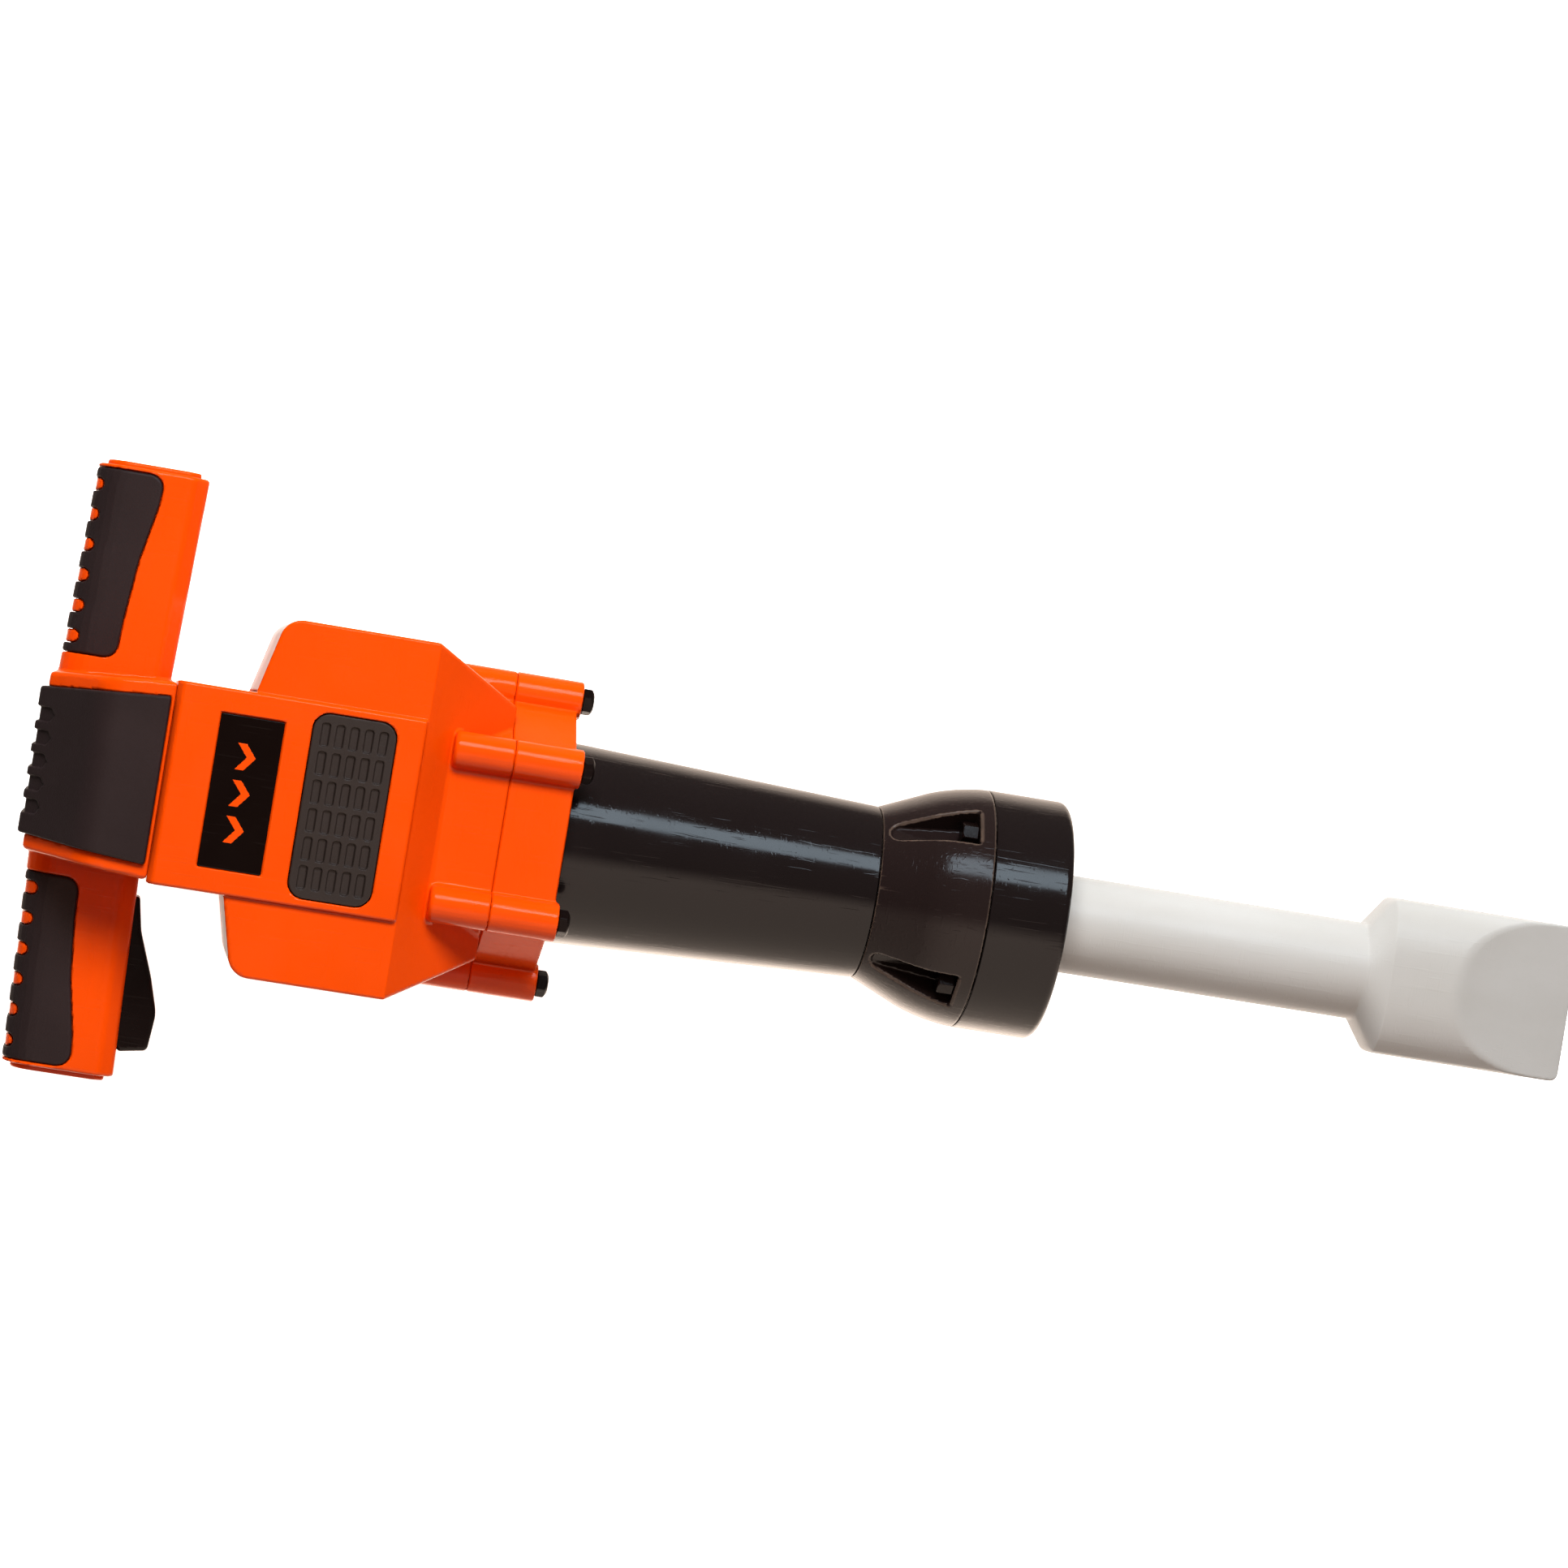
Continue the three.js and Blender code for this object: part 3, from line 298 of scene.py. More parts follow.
def quads_across(inside, index, axis):
    """Two arrays of quads, one for each sense in which edges along the axis cross the surface."""
    b, c = (axis + 1) % 3, (axis + 2) % 3
    n = index.shape
    here = [slice(1, n[i]) for i in range(3)]
    here[axis] = slice(0, n[axis])
    there = list(here)
    there[axis] = slice(1, n[axis] + 1)
    first, second = inside[tuple(here)], inside[tuple(there)]
    made = []
    for flip in (False, True):
        found = np.argwhere(second & ~first if flip else first & ~second)
        found += [0 if i == axis else 1 for i in range(3)]

        def cell(db, dc):
            q = found.copy()
            q[:, b] -= db
            q[:, c] -= dc
            return index[q[:, 0], q[:, 1], q[:, 2]]

        ring = [cell(1, 1), cell(0, 1), cell(0, 0), cell(1, 0)]
        made.append(np.stack(ring[::-1] if flip else ring, 1))
    return made


def surface_net(values, low, step):
    """Vertices and quads where the values change sign."""
    inside = values < 0
    total = sum(cell_corner(inside, c).astype(np.int8) for c in CORNERS)
    active = (total > 0) & (total < len(CORNERS))
    cells = np.argwhere(active)
    vertices = np.array(low) + step * (cells + crossing_centres(values, cells))
    index = np.full(active.shape, -1)
    index[active] = np.arange(len(cells))
    quads = [made for axis in range(3) for made in quads_across(inside, index, axis)]
    return vertices, np.concatenate(quads)


def settle(field, vertices, step):
    """Moves each vertex onto the surface, by half a step at most in each round."""
    for _ in range(SETTLE_ROUNDS):
        here = field(*vertices.T)
        slope = np.stack([
            (field(*(vertices + PROBE * axis).T) - field(*(vertices - PROBE * axis).T)) / (2 * PROBE)
            for axis in np.eye(3)
        ], 1)
        size = np.maximum((slope ** 2).sum(1), LEAST_SLOPE)
        move = -slope * (here / size)[:, None]
        length = np.linalg.norm(move, axis=1)
        move *= np.minimum(1, 0.5 * step / np.maximum(length, 1e-9))[:, None]
        vertices = vertices + move
    return vertices


def mark_edges(mesh, field, reach=0.35, flat=0.25, sharp=0.8):
    """Stores at each vertex, from 0 to 1, how sharply the surface bends outwards: the mask of a painted edge
    highlight.
    """
    points = np.empty(len(mesh.vertices) * 3)
    mesh.vertices.foreach_get("co", points)
    points = (points.reshape(-1, 3) + np.array(ORIGIN)) * 1000
    around = sum(field(*(points + sign * reach * axis).T) for axis in np.eye(3) for sign in (1, -1))
    bend = (around - 6 * field(*points.T)) / reach ** 2
    edge = mesh.attributes.new("edge", "FLOAT", "POINT")
    edge.data.foreach_set("value", np.clip((bend - flat) / (sharp - flat), 0, 1))


def shade_smooth(mesh):
    mesh.polygons.foreach_set("use_smooth", [True] * len(mesh.polygons))


def weigh_normals(obj):
    modifier = obj.modifiers.new("normals", "WEIGHTED_NORMAL")
    modifier.mode = "FACE_AREA"
    modifier.weight = 50
    modifier.keep_sharp = False


def mesh_object(name, vertices, faces, material):
    mesh = bpy.data.meshes.new(name)
    mesh.from_pydata([place(*v) for v in vertices], [], faces)
    mesh.validate()
    shade_smooth(mesh)
    mesh.materials.append(material)
    obj = bpy.data.objects.new(name, mesh)
    bpy.context.scene.collection.objects.link(obj)
    return obj


def moulded(name, field, low, high, step, material, flatten=0.5, worn=False):
    """Object whose surface is where the field is 0, merging faces that bend by less than flatten degrees."""
    low = np.array(low, float) - MARGIN * step
    shape = [math.ceil((high[i] + MARGIN * step - low[i]) / step) + 1 for i in range(3)]
    vertices, quads = surface_net(sample(field, low, shape, step), low, step)
    vertices = settle(field, vertices, step)
    obj = mesh_object(name, vertices.tolist(), quads.tolist(), material)
    b = bmesh.new()
    b.from_mesh(obj.data)
    bmesh.ops.dissolve_limit(
        b, angle_limit=math.radians(flatten), verts=b.verts, edges=b.edges, use_dissolve_boundaries=False)
    b.to_mesh(obj.data)
    b.free()
    shade_smooth(obj.data)
    # Sharp edges are marked as the mask of a painted edge highlight.
    if worn:
        mark_edges(obj.data, field)
    weigh_normals(obj)
    return obj


def turned(name, profile, material, segments=144):
    """Object made by turning a closed loop of (x, radius) points about the tool axis."""
    rings = len(profile)
    vertices = []
    for x, r in profile:
        for k in range(segments):
            a = 2 * math.pi * k / segments
            vertices.append((x, r * math.sin(a), r * math.cos(a)))
    faces = []
    for i in range(rings):
        j = (i + 1) % rings
        for k in range(segments):
            m = (k + 1) % segments
            faces.append((i * segments + k, j * segments + k, j * segments + m, i * segments + m))
    obj = mesh_object(name, vertices, faces, material)
    weigh_normals(obj)
    return obj


# ---- materials ----
def screen_to_linear(colour):
    return [((c / 255 + 0.055) / 1.055) ** 2.4 if c > 10 else c / 255 / 12.92 for c in colour]


def material(name, colour, roughness, **sockets):
    """Principled material; colour is 0 to 255 as seen on a screen."""
    made = bpy.data.materials.new(name)
    made.use_nodes = True
    shader = made.node_tree.nodes["Principled BSDF"]
    shader.inputs["Base Color"].default_value = (*screen_to_linear(colour), 1)
    shader.inputs["Roughness"].default_value = roughness
    for socket, value in sockets.items():
        shader.inputs[socket.replace("_", " ")].default_value = value
    return made


def object_space(tree):
    return tree.nodes.new("ShaderNodeTexCoord").outputs["Object"]


def noise(tree, scale, detail=3.0, stretch=None):
    """Noise in object space, in features for each metre."""
    texture = tree.nodes.new("ShaderNodeTexNoise")
    texture.inputs["Scale"].default_value = scale
    texture.inputs["Detail"].default_value = detail
    source = object_space(tree)
    if stretch:
        mapping = tree.nodes.new("ShaderNodeMapping")
        mapping.inputs["Scale"].default_value = stretch
        tree.links.new(source, mapping.inputs["Vector"])
        source = mapping.outputs["Vector"]
    tree.links.new(source, texture.inputs["Vector"])
    return texture.outputs["Fac"]


def ramp(tree, source, low, high, low_at=0.3, high_at=0.7):
    """Maps low_at to high_at onto low to high, and holds the ends."""
    node = tree.nodes.new("ShaderNodeMapRange")
    node.inputs["From Min"].default_value = low_at
    node.inputs["From Max"].default_value = high_at
    node.inputs["To Min"].default_value = low
    node.inputs["To Max"].default_value = high
    tree.links.new(source, node.inputs["Value"])
    return node.outputs["Result"]


def combined(tree, operation, a, b):
    node = tree.nodes.new("ShaderNodeMath")
    node.operation = operation
    tree.links.new(a, node.inputs[0])
    tree.links.new(b, node.inputs[1])
    return node.outputs[0]


def blend_colour(made, factor, colour):
    """Blends the base colour, with whatever already varies it, into another."""
    tree = made.node_tree
    base = tree.nodes["Principled BSDF"].inputs["Base Color"]
    mix = tree.nodes.new("ShaderNodeMix")
    mix.data_type = "RGBA"
    mix.inputs["A"].default_value = base.default_value
    mix.inputs["B"].default_value = (*colour, 1)
    if base.links:
        tree.links.new(base.links[0].from_socket, mix.inputs["A"])
    tree.links.new(factor, mix.inputs["Factor"])
    tree.links.new(mix.outputs["Result"], base)


def vary_colour(made, source, amount, tint=(1.0, 1.0, 1.0)):
    """Base colour drifts by amount between the plain colour and a darker, tinted one."""
    base = made.node_tree.nodes["Principled BSDF"].inputs["Base Color"].default_value[:3]
    blend_colour(made, source, [c * (1 - amount) * t for c, t in zip(base, tint)])


def add_bump(made, source, depth, strength=1.0):
    """Relief of depth metres; each call adds to the one before."""
    tree = made.node_tree
    shader = tree.nodes["Principled BSDF"]
    bump = tree.nodes.new("ShaderNodeBump")
    bump.inputs["Distance"].default_value = depth
    bump.inputs["Strength"].default_value = strength
    tree.links.new(source, bump.inputs["Height"])
    if shader.inputs["Normal"].links:
        tree.links.new(shader.inputs["Normal"].links[0].from_socket, bump.inputs["Normal"])
    tree.links.new(bump.outputs["Normal"], shader.inputs["Normal"])


def vary_roughness(made, source, low, high):
    tree = made.node_tree
    tree.links.new(ramp(tree, source, low, high), tree.nodes["Principled BSDF"].inputs["Roughness"])


def paint_edge_highlight(made, colour, amount):
    """Painted highlight: edges that mark_edges found are paler, broken up unevenly by noise."""
    tree = made.node_tree
    edge = tree.nodes.new("ShaderNodeAttribute")
    edge.attribute_name = "edge"
    sharp = ramp(tree, edge.outputs["Fac"], 0, 1, 0.4, 0.95)
    # Noise breaks the painted highlight up unevenly.
    broken_up = ramp(tree, noise(tree, 150, 4), 0.5 * amount, amount)
    blend_colour(made, combined(tree, "MULTIPLY", sharp, broken_up), screen_to_linear(colour))


def scuffs(made):
    """Fine handling marks: thin streaks in two directions."""
    tree = made.node_tree
    for stretch in ((1.0, 0.04, 1.0), (0.05, 1.0, 1.0)):
        streak = noise(tree, 900, 1.0, stretch)
        add_bump(made, ramp(tree, streak, 0, 1, 0.62, 0.7), 0.00002)


def plastic(name, colour, roughness, grain, grain_depth, spread=0.07, **sockets):
    """Moulded plastic: fine moulded grain, slow drift of gloss and colour, and light scuffs."""
    made = material(name, colour, roughness, **sockets)
    tree = made.node_tree
    vary_colour(made, ramp(tree, noise(tree, 28, 4), 0, 1), 0.06)
    vary_roughness(made, noise(tree, 45, 5), max(roughness - spread, 0.04), roughness + spread)
    add_bump(made, noise(tree, 22, 2), 0.00025, 0.5)
    add_bump(made, noise(tree, grain, 2), grain_depth)
    scuffs(made)
    return made


def rubber_grip():
    """Satin overmould with a fine leathery grain of small cells."""
    made = material("grip_rubber", (47, 37, 37), 0.5, Specular_IOR_Level=0.25)
    tree = made.node_tree
    cells = tree.nodes.new("ShaderNodeTexVoronoi")
    cells.inputs["Scale"].default_value = 1500
    tree.links.new(object_space(tree), cells.inputs["Vector"])
    vary_colour(made, ramp(tree, noise(tree, 35, 4), 0, 1), 0.15)
    vary_roughness(made, noise(tree, 60, 5), 0.42, 0.56)
    add_bump(made, cells.outputs["Distance"], 0.00006, 0.7)
    add_bump(made, noise(tree, 25, 2), 0.0002, 0.4)
    return made


def pearl_silver():
    """Silver-grey plastic with a fine flake and faint flow marks along the blade."""
    made = material("pearl_silver", (177, 174, 171), 0.45, Specular_IOR_Level=0.35)
    tree = made.node_tree
    vary_colour(made, ramp(tree, noise(tree, 30, 6, (0.3, 1, 1)), 0, 1), 0.10, (1.0, 0.99, 0.97))
    vary_roughness(made, noise(tree, 2600, 1), 0.32, 0.46)
    add_bump(made, noise(tree, 3000, 1), 0.00002)
    add_bump(made, noise(tree, 16, 2), 0.0004, 0.5)
    scuffs(made)
    return made


def plated_steel():
    made = material("plated_steel", (176, 176, 180), 0.28, Metallic=1.0)
    tree = made.node_tree
    vary_colour(made, ramp(tree, noise(tree, 120, 4), 0, 1), 0.12)
    vary_roughness(made, noise(tree, 300, 4), 0.2, 0.4)
    add_bump(made, noise(tree, 900, 2, (1, 1, 0.2)), 0.00002)
    return made


def board_green():
    """Solder mask with copper tracks just under it."""
    made = material("solder_mask", (22, 84, 48), 0.3)
    tree = made.node_tree
    tracks = tree.nodes.new("ShaderNodeTexBrick")
    tracks.inputs["Scale"].default_value = 220
    tracks.inputs["Mortar Size"].default_value = 0.06
    tree.links.new(object_space(tree), tracks.inputs["Vector"])
    vary_colour(made, tracks.outputs["Fac"], 0.5)
    add_bump(made, tracks.outputs["Fac"], 0.00003)
    return made


def battery_jacket():
    """Plain dark foil jacket of a cell."""
    made = material("battery_jacket", (40, 42, 48), 0.3, Metallic=0.6)
    tree = made.node_tree
    vary_colour(made, ramp(tree, noise(tree, 200, 3), 0, 1), 0.2)
    vary_roughness(made, noise(tree, 400, 3), 0.22, 0.38)
    return made


ORANGE = plastic("orange_plastic", (219, 76, 4), 0.14, 900, 0.000008, 0.04, Specular_IOR_Level=0.28)
NOSE_ORANGE = plastic(
    "nose_orange_plastic", (221, 77, 5), 0.14, 900, 0.000008, 0.04, Specular_IOR_Level=0.28)
GRIP = rubber_grip()
BLACK = plastic("black_plastic", (20, 11, 10), 0.28, 1400, 0.000008, Specular_IOR_Level=0.3)
GRILLE_BLACK = plastic("grille_plastic", (47, 39, 36), 0.5, 1600, 0.00003)
GLOSS = plastic("gloss_black_plastic", (28, 22, 22), 0.13, 500, 0.000003, 0.04, Specular_IOR_Level=0.45)
HEAD_BLACK = plastic("head_black", (37, 28, 27), 0.16, 500, 0.000004, 0.04, Specular_IOR_Level=0.4)
LABEL_BLACK = plastic("label_black", (18, 8, 6), 0.2, 500, 0.000003, 0.04, Specular_IOR_Level=0.3)
GREY = plastic("grey_plastic", (206, 201, 196), 0.4, 1200, 0.00002)
SILVER = pearl_silver()
STEEL = plated_steel()
BOARD = board_green()
JACKET = battery_jacket()
# Painted highlight: pale brown along the head's sharp edges and pocket rims.
paint_edge_highlight(HEAD_BLACK, (118, 100, 88), 0.45)

SLOT_MATERIALS = {
    "orange_plastic": ORANGE,
    "soft_grip": GRIP,
    "black_plastic": BLACK,
    "gloss_black_plastic": GLOSS,
    "grey_plastic": GREY,
    "silver_plastic": SILVER,
    "steel": STEEL,
    "circuit_board": BOARD,
    "battery_jacket": JACKET,
}


def finish_piece(obj, body, slot, *nodes):
    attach(obj, body)
    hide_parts(*nodes)


def make(name, field, low, high, step, look, slot, node, body="housing", **how):
    """Moulds a piece that takes the place of one CAD node."""
    finish_piece(moulded(name, field, low, high, step, look, **how), body, slot, node)


# ---- main housing ----
def tube_place(degrees):
    a = math.radians(degrees)
    return TUBE_CIRCLE_R * math.sin(a), TUBE_CIRCLE_R * math.cos(a)


LOBE_OUTLINE = rounded(mirrored(LOBE_PLAN))
LOBE_PROFILE = mirrored(LOBE_SIDE)


def panel_block(x, y, z):
    """Raised panel and neck, chamfered where it meets the hub."""
    block = box((x, y, z), (NECK_X - 3, -PANEL_Y, -PANEL_Z), (RIDGE_X - 0.3, PANEL_Y, PANEL_Z), 1.1)
    block = meet(block, NECK_X - x, 0.2)
    run, rise = NECK_CHAMFER
    chamfer = ((PANEL_Z - np.abs(z) - rise) * -run - (x - NECK_X) * rise) / math.hypot(run, rise)
    return meet(block, chamfer, 0.8)


def housing_outside(x, y, z):
    lobes = meet(polygon(x, y, LOBE_OUTLINE), polygon(x, z, LOBE_PROFILE), 1.1)
    nose = meet(hexagon(y, z, HEX_APOTHEM), RIDGE_X + 6 - x)
    body = join(lobes, nose, 1.0)
    for degrees in TUBE_ANGLES:
        tube = meet(rod(y, z, TUBE_R, *tube_place(degrees)), STUB_X - x, 2.0)
        body = join(body, tube, 1.0)
    return join(body, panel_block(x, y, z), 0.5)


def end_wall_strip(x, y, z, grow):
    """The part of the lobes' wall towards the handle that belongs to the chassis."""
    depth = polygon(x, y, LOBE_OUTLINE) + WALL + grow
    strip = meet(np.abs(z) - STRIP_Z - grow, STRIP_Y - grow - np.abs(y))
    return carve(meet(strip, x - CHASSIS_END_X - grow), depth)


def housing_shell(x, y, z, side):
    """Half of the housing's hollow shell, open towards the nose and at the neck."""
    outside = housing_outside(x, y, z)
    shell = carve(outside, outside + WALL)
    shell = meet(shell, x - SEAM_X, 0.35)
    shell = carve(shell, end_wall_strip(x, y, z, GAP))
    neck = box((x, y, z), (NECK_X - 2, -NECK_HOLE, -NECK_HOLE), (NECK_X + 4, NECK_HOLE, NECK_HOLE))
    return meet(carve(shell, neck), GAP / 2 - side * z, 0.3)


def grille_outline(grow):
    x0, x1, half, corner = GRILLE
    return rounded([
        (x0 - grow, -half - grow, corner), (x1 + grow, -half - grow, corner),
        (x1 + grow, half + grow, corner), (x0 - grow, half + grow, corner),
    ])


def front_cover(x, y, z):
    """Front half, with seats for the label and the grille, an opening behind the grille, and screw bosses."""
    shell = housing_shell(x, y, z, 1)
    x0, x1, half = LABEL
    label = box((x, y, z), (x0 - GAP, -half - GAP, PANEL_Z - 1.5), (x1 + GAP, half + GAP, PANEL_Z + 9), 0.5)
    seat = meet(polygon(x, y, grille_outline(GAP)), PANEL_Z - 1.7 - z)
    x0, x1, half, _ = GRILLE
    sound = box((x, y, z), (x0 + 3, 3 - half, 30), (x1 - 3, half - 3, 70), 1)
    shell = carve(carve(shell, label, 0.3), seat, 0.35)
    shell = carve(shell, sound)
    for sx, sy in CASE_SCREWS:
        boss = meet(rod(x, y, 4.5, sx, sy), slab(z, 2, LOBE_Z - 1))
        hole = meet(rod(x, y, SCREW_HOLE_R, sx, sy), slab(z, -5, 16))
        shell = carve(join(shell, boss), hole)
    return shell


def with_door_opening(shell, p):
    """The rear shell with the battery bay, the door's seat, and a ledge and a boss for its screw."""
    x, y, z = p
    x0, x1, half = DOOR
    shell = join(shell, box(p, (x0 - 1.5, -half - 2, 1 - PANEL_Z), (BAY_X, half + 2, 5 - PANEL_Z)))
    boss = meet(rod(x, y, DOOR_SCREW_HEAD_R, DOOR_SCREW_X, 0), slab(z, 1 - PANEL_Z, 13 - PANEL_Z))
    hole = meet(rod(x, y, DOOR_SCREW_R, DOOR_SCREW_X, 0), z - 12 + PANEL_Z)
    bay = box(p, (BAY_X - GAP, -half - GAP, -80), (x1 + GAP, half + GAP, -40), 0.3)
    seat = box(p, (x0 - GAP, -half - GAP, -80), (x1 + GAP, half + GAP, 2.7 - PANEL_Z), 0.8)
    shell = carve(join(shell, boss), join(hole, bay))
    return carve(shell, seat, 0.3)


def rear_cover(x, y, z):
    """Rear half, with countersunk screw bosses, the door's opening and the switch's dish and slot."""
    shell = housing_shell(x, y, z, -1)
    p = (x, y, z)
    for sx, sy in CASE_SCREWS:
        boss = meet(rod(x, y, 5.5, sx, sy), slab(z, 1 - LOBE_Z, -2))
        sink = meet(rod(x, y, 4, sx, sy), z + LOBE_Z - 7)
        hole = rod(x, y, SCREW_HOLE_R, sx, sy)
        shell = carve(carve(join(shell, boss), hole), sink, 0.5)
    shell = with_door_opening(shell, p)
    x0, x1, half = SWITCH
    dish = box(p, (x0, -half, -80), (x1, half, 1.4 - PANEL_Z), 1.2)
    slot = box(p, (x0 + 4, 3 - half, -80), (x1 - 4, half - 3, -40), 0.5)
    return carve(carve(shell, dish, 0.4), slot)


def square_bar(p, start, end, half, r=0.5):
    return box(p, (start, -half, -half), (end, half, half), r)


def chassis_wall(x, y, z):
    """Light grey end wall, with the plate inside the housing and the tube through the neck."""
    outside = polygon(x, y, LOBE_OUTLINE)
    strip = meet(np.abs(z) - STRIP_Z, STRIP_Y - np.abs(y))
    strip = meet(meet(strip, x - CHASSIS_END_X, 0.3), outside, 0.5)
    wall = carve(strip, outside + WALL)
    sheet = slab(z, -PLATE_HALF_Z, PLATE_HALF_Z)
    plate = meet(meet(outside + 3, sheet), x - PLATE_END_X)
    ties = meet(meet(sheet, slab(np.abs(y), 38, 58)), slab(x, -119.9, -109.7))
    made = join(join(wall, plate), meet(ties, outside + 1))
    p = (x, y, z)
    made = join(made, square_bar(p, NECK_X - 7, -115.4, NECK_TUBE))
    made = join(made, square_bar(p, NECK_X - 7.5, NECK_X - 4, NECK_FLANGE))
    made = carve(made, square_bar(p, NECK_X - 20, -117.4, NECK_BORE))
    for sx, sy in CASE_SCREWS:
        made = carve(made, rod(x, y, 6, sx, sy))
    return made


def build_housing():
    low, high = (NECK_X, -65, 0), (SEAM_X, 65, PANEL_Z)
    make("front_cover_shell", front_cover, low, high, 1.0, ORANGE, "orange_plastic", "front_cover")
    low, high = (NECK_X, -65, -PANEL_Z), (SEAM_X, 65, 0)
    make("rear_cover_shell", rear_cover, low, high, 1.0, ORANGE, "orange_plastic", "rear_cover")
    low, high = (NECK_X - 8, -65, -53), (-63, 65, 53)
    make("chassis_frame", chassis_wall, low, high, 0.9, GREY, "grey_plastic", "chassis")


# ---- label and speaker grille ----
def label_plate(x, y, z):
    x0, x1, half = LABEL
    return box((x, y, z), (x0, -half, PANEL_Z - 1.2), (x1, half, PANEL_Z - 0.5), 0.3)


def label_mark(x, y, z):
    """Generic mark: three chevrons pointing towards the chisel."""
    middle = (LABEL[0] + LABEL[1]) / 2
    made = np.full(x.shape, 1e3)
    for y0 in (-13, 0, 13):
        across = np.abs(y - y0)
        band = np.abs((x - middle - 1.5) + 0.8 * across) / math.hypot(1, 0.8) - 1.3
        made = join(made, meet(band, across - 4.8))
    return meet(made, slab(z, PANEL_Z - 0.6, PANEL_Z - 0.35))


def grille_plate(x, y, z):
    """Plate with rows of short shallow slots."""
    plate = meet(polygon(x, y, grille_outline(0)), slab(z, PANEL_Z - 1.6, PANEL_Z + 0.4), 0.5)
    du = to_nearest(x - (GRILLE[0] + GRILLE[1]) / 2, 5.17, 5)
    dv = to_nearest(y, 10.2, 6)
    slot = np.hypot(np.maximum(np.abs(du) - 0.55, 0), np.maximum(np.abs(dv) - 3.25, 0)) - 0.9
    return carve(plate, meet(slot, PANEL_Z - 0.6 - z, 0.4), 0.35)


def build_front_trim():
    x0, x1, half = LABEL
    low, high = (x0, -half, PANEL_Z - 1.2), (x1, half, PANEL_Z - 0.4)
    make("label_plate_blank", label_plate, low, high, 0.45, LABEL_BLACK, "black_plastic", "label_plate")
    mark = moulded("label_chevrons", label_mark, low, high, 0.3, ORANGE)
    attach(mark, "housing")
    x0, x1, half, _ = GRILLE
    low, high = (x0, -half, PANEL_Z - 1.6), (x1, half, PANEL_Z + 0.4)
    make("grille_plate", grille_plate, low, high, 0.4, GRILLE_BLACK, "black_plastic", "speaker_grille")


# ---- nose ----
def nose_block(x, y, z):
    """Six-sided block with the bolts' tubes at its corners and a bore for the barrel's root."""
    hexa = hexagon(y, z, HEX_APOTHEM)
    ends = meet(x - NOSE_END_X, SEAM_X + SEAM - x)
    outside = meet(hexa, ends, 0.45)
    shell = carve(outside, meet(hexa + WALL, x - NOSE_END_X + 4))
    for degrees in TUBE_ANGLES:
        ty, tz = tube_place(degrees)
        tube = meet(rod(y, z, TUBE_R, ty, tz), meet(x - TUBE_END_X, SEAM_X + SEAM - x), 0.5)
        bore = meet(rod(y, z, BOLT_HOLE_R, ty, tz), -20 - x)
        shell = carve(join(shell, tube, 0.8), bore)
    return carve(shell, rod(y, z, NOSE_BORE_R))


def bolt_form(apothem, head, shank, dome_x, dome_r):
    """Hexagon bolt along x; head and shank are its stretches of x, and a sphere domes the head."""
    def field(x, y, z):
        dome = np.sqrt((x - dome_x) ** 2 + y ** 2 + z ** 2) - dome_r
        top = meet(meet(hexagon(y, z, apothem), slab(x, *head), 0.25), dome, 0.2)
        return join(top, meet(rod(y, z, SHANK_R), slab(x, *shank)))
    return field


def copies(source, places, name, body, slot, node):
    """Copies of a piece made about the axis, each moved to its place (x, y, z) and turned about x."""
    for i, (x, y, z, turn) in enumerate(places):
        mesh = source.data.copy()
        about = Matrix.Translation(-ORIGIN)
        shift = Matrix.Translation(Vector((x, y, z)) / 1000) @ Matrix.Rotation(turn, 4, "X")
        mesh.transform(about @ shift @ about.inverted())
        copy = bpy.data.objects.new(f"{name}_{i + 1}", mesh)
        bpy.context.scene.collection.objects.link(copy)
        weigh_normals(copy)
        finish_piece(copy, body, slot, f"{node}_{i + 1}")
    bpy.data.objects.remove(source)


def build_nose():
    low, high = (SEAM_X, -60, -52), (TUBE_END_X, 60, 52)
    make("nose_block", nose_block, low, high, 0.9, NOSE_ORANGE, "orange_plastic", "nose_housing")
    form = bolt_form(4.3, (0, 4.2), (-16.5, 1), -2.8, 7.6)
    bolt = moulded("tube_bolt", form, (-17, -5, -5), (5, 5, 5), 0.35, BLACK)
    places = [(TUBE_END_X + GAP, *tube_place(a), math.radians(13 * i)) for i, a in enumerate(TUBE_ANGLES)]
    copies(bolt, places, "tube_bolt", "housing", "black_plastic", "nose_bolt")


# ---- barrel, head and collar ----
def arc_edge(x, r, radius, start, end, steps=6):
    """Points of a rounded edge about (x, r), between two angles in degrees."""
    return [(x + radius * math.cos(math.radians(a)), r + radius * math.sin(math.radians(a)))
            for a in np.linspace(start, end, steps)]


def build_barrel():
    x0, x1, r0, r1 = BARREL
    root_x = -14
    profile = [(root_x, BARREL_BORE_R), (root_x, BARREL_ROOT_R), (x0, BARREL_ROOT_R)]
    profile += arc_edge(x0 + 0.8, r0 - 0.8, 0.8, 180, 92)
    profile += [(x, r0 + (r1 - r0) * (x - x0) / (x1 - x0)) for x in np.linspace(x0 + 3, x1 - 2, 12)]
    profile += arc_edge(x1 - 0.5, r1 - 0.5, 0.5, 88, 0)
    profile += [(x1, 29.4), (x0 + 4, BARREL_BORE_R), (x0, BARREL_BORE_R)]
    finish_piece(turned("barrel_tube", profile, GLOSS), "housing", "gloss_black_plastic", "barrel")


def head_bolt_place(degrees):
    a = math.radians(degrees)
    return -HEAD_BOLT_CIRCLE_R * math.sin(a), HEAD_BOLT_CIRCLE_R * math.cos(a)


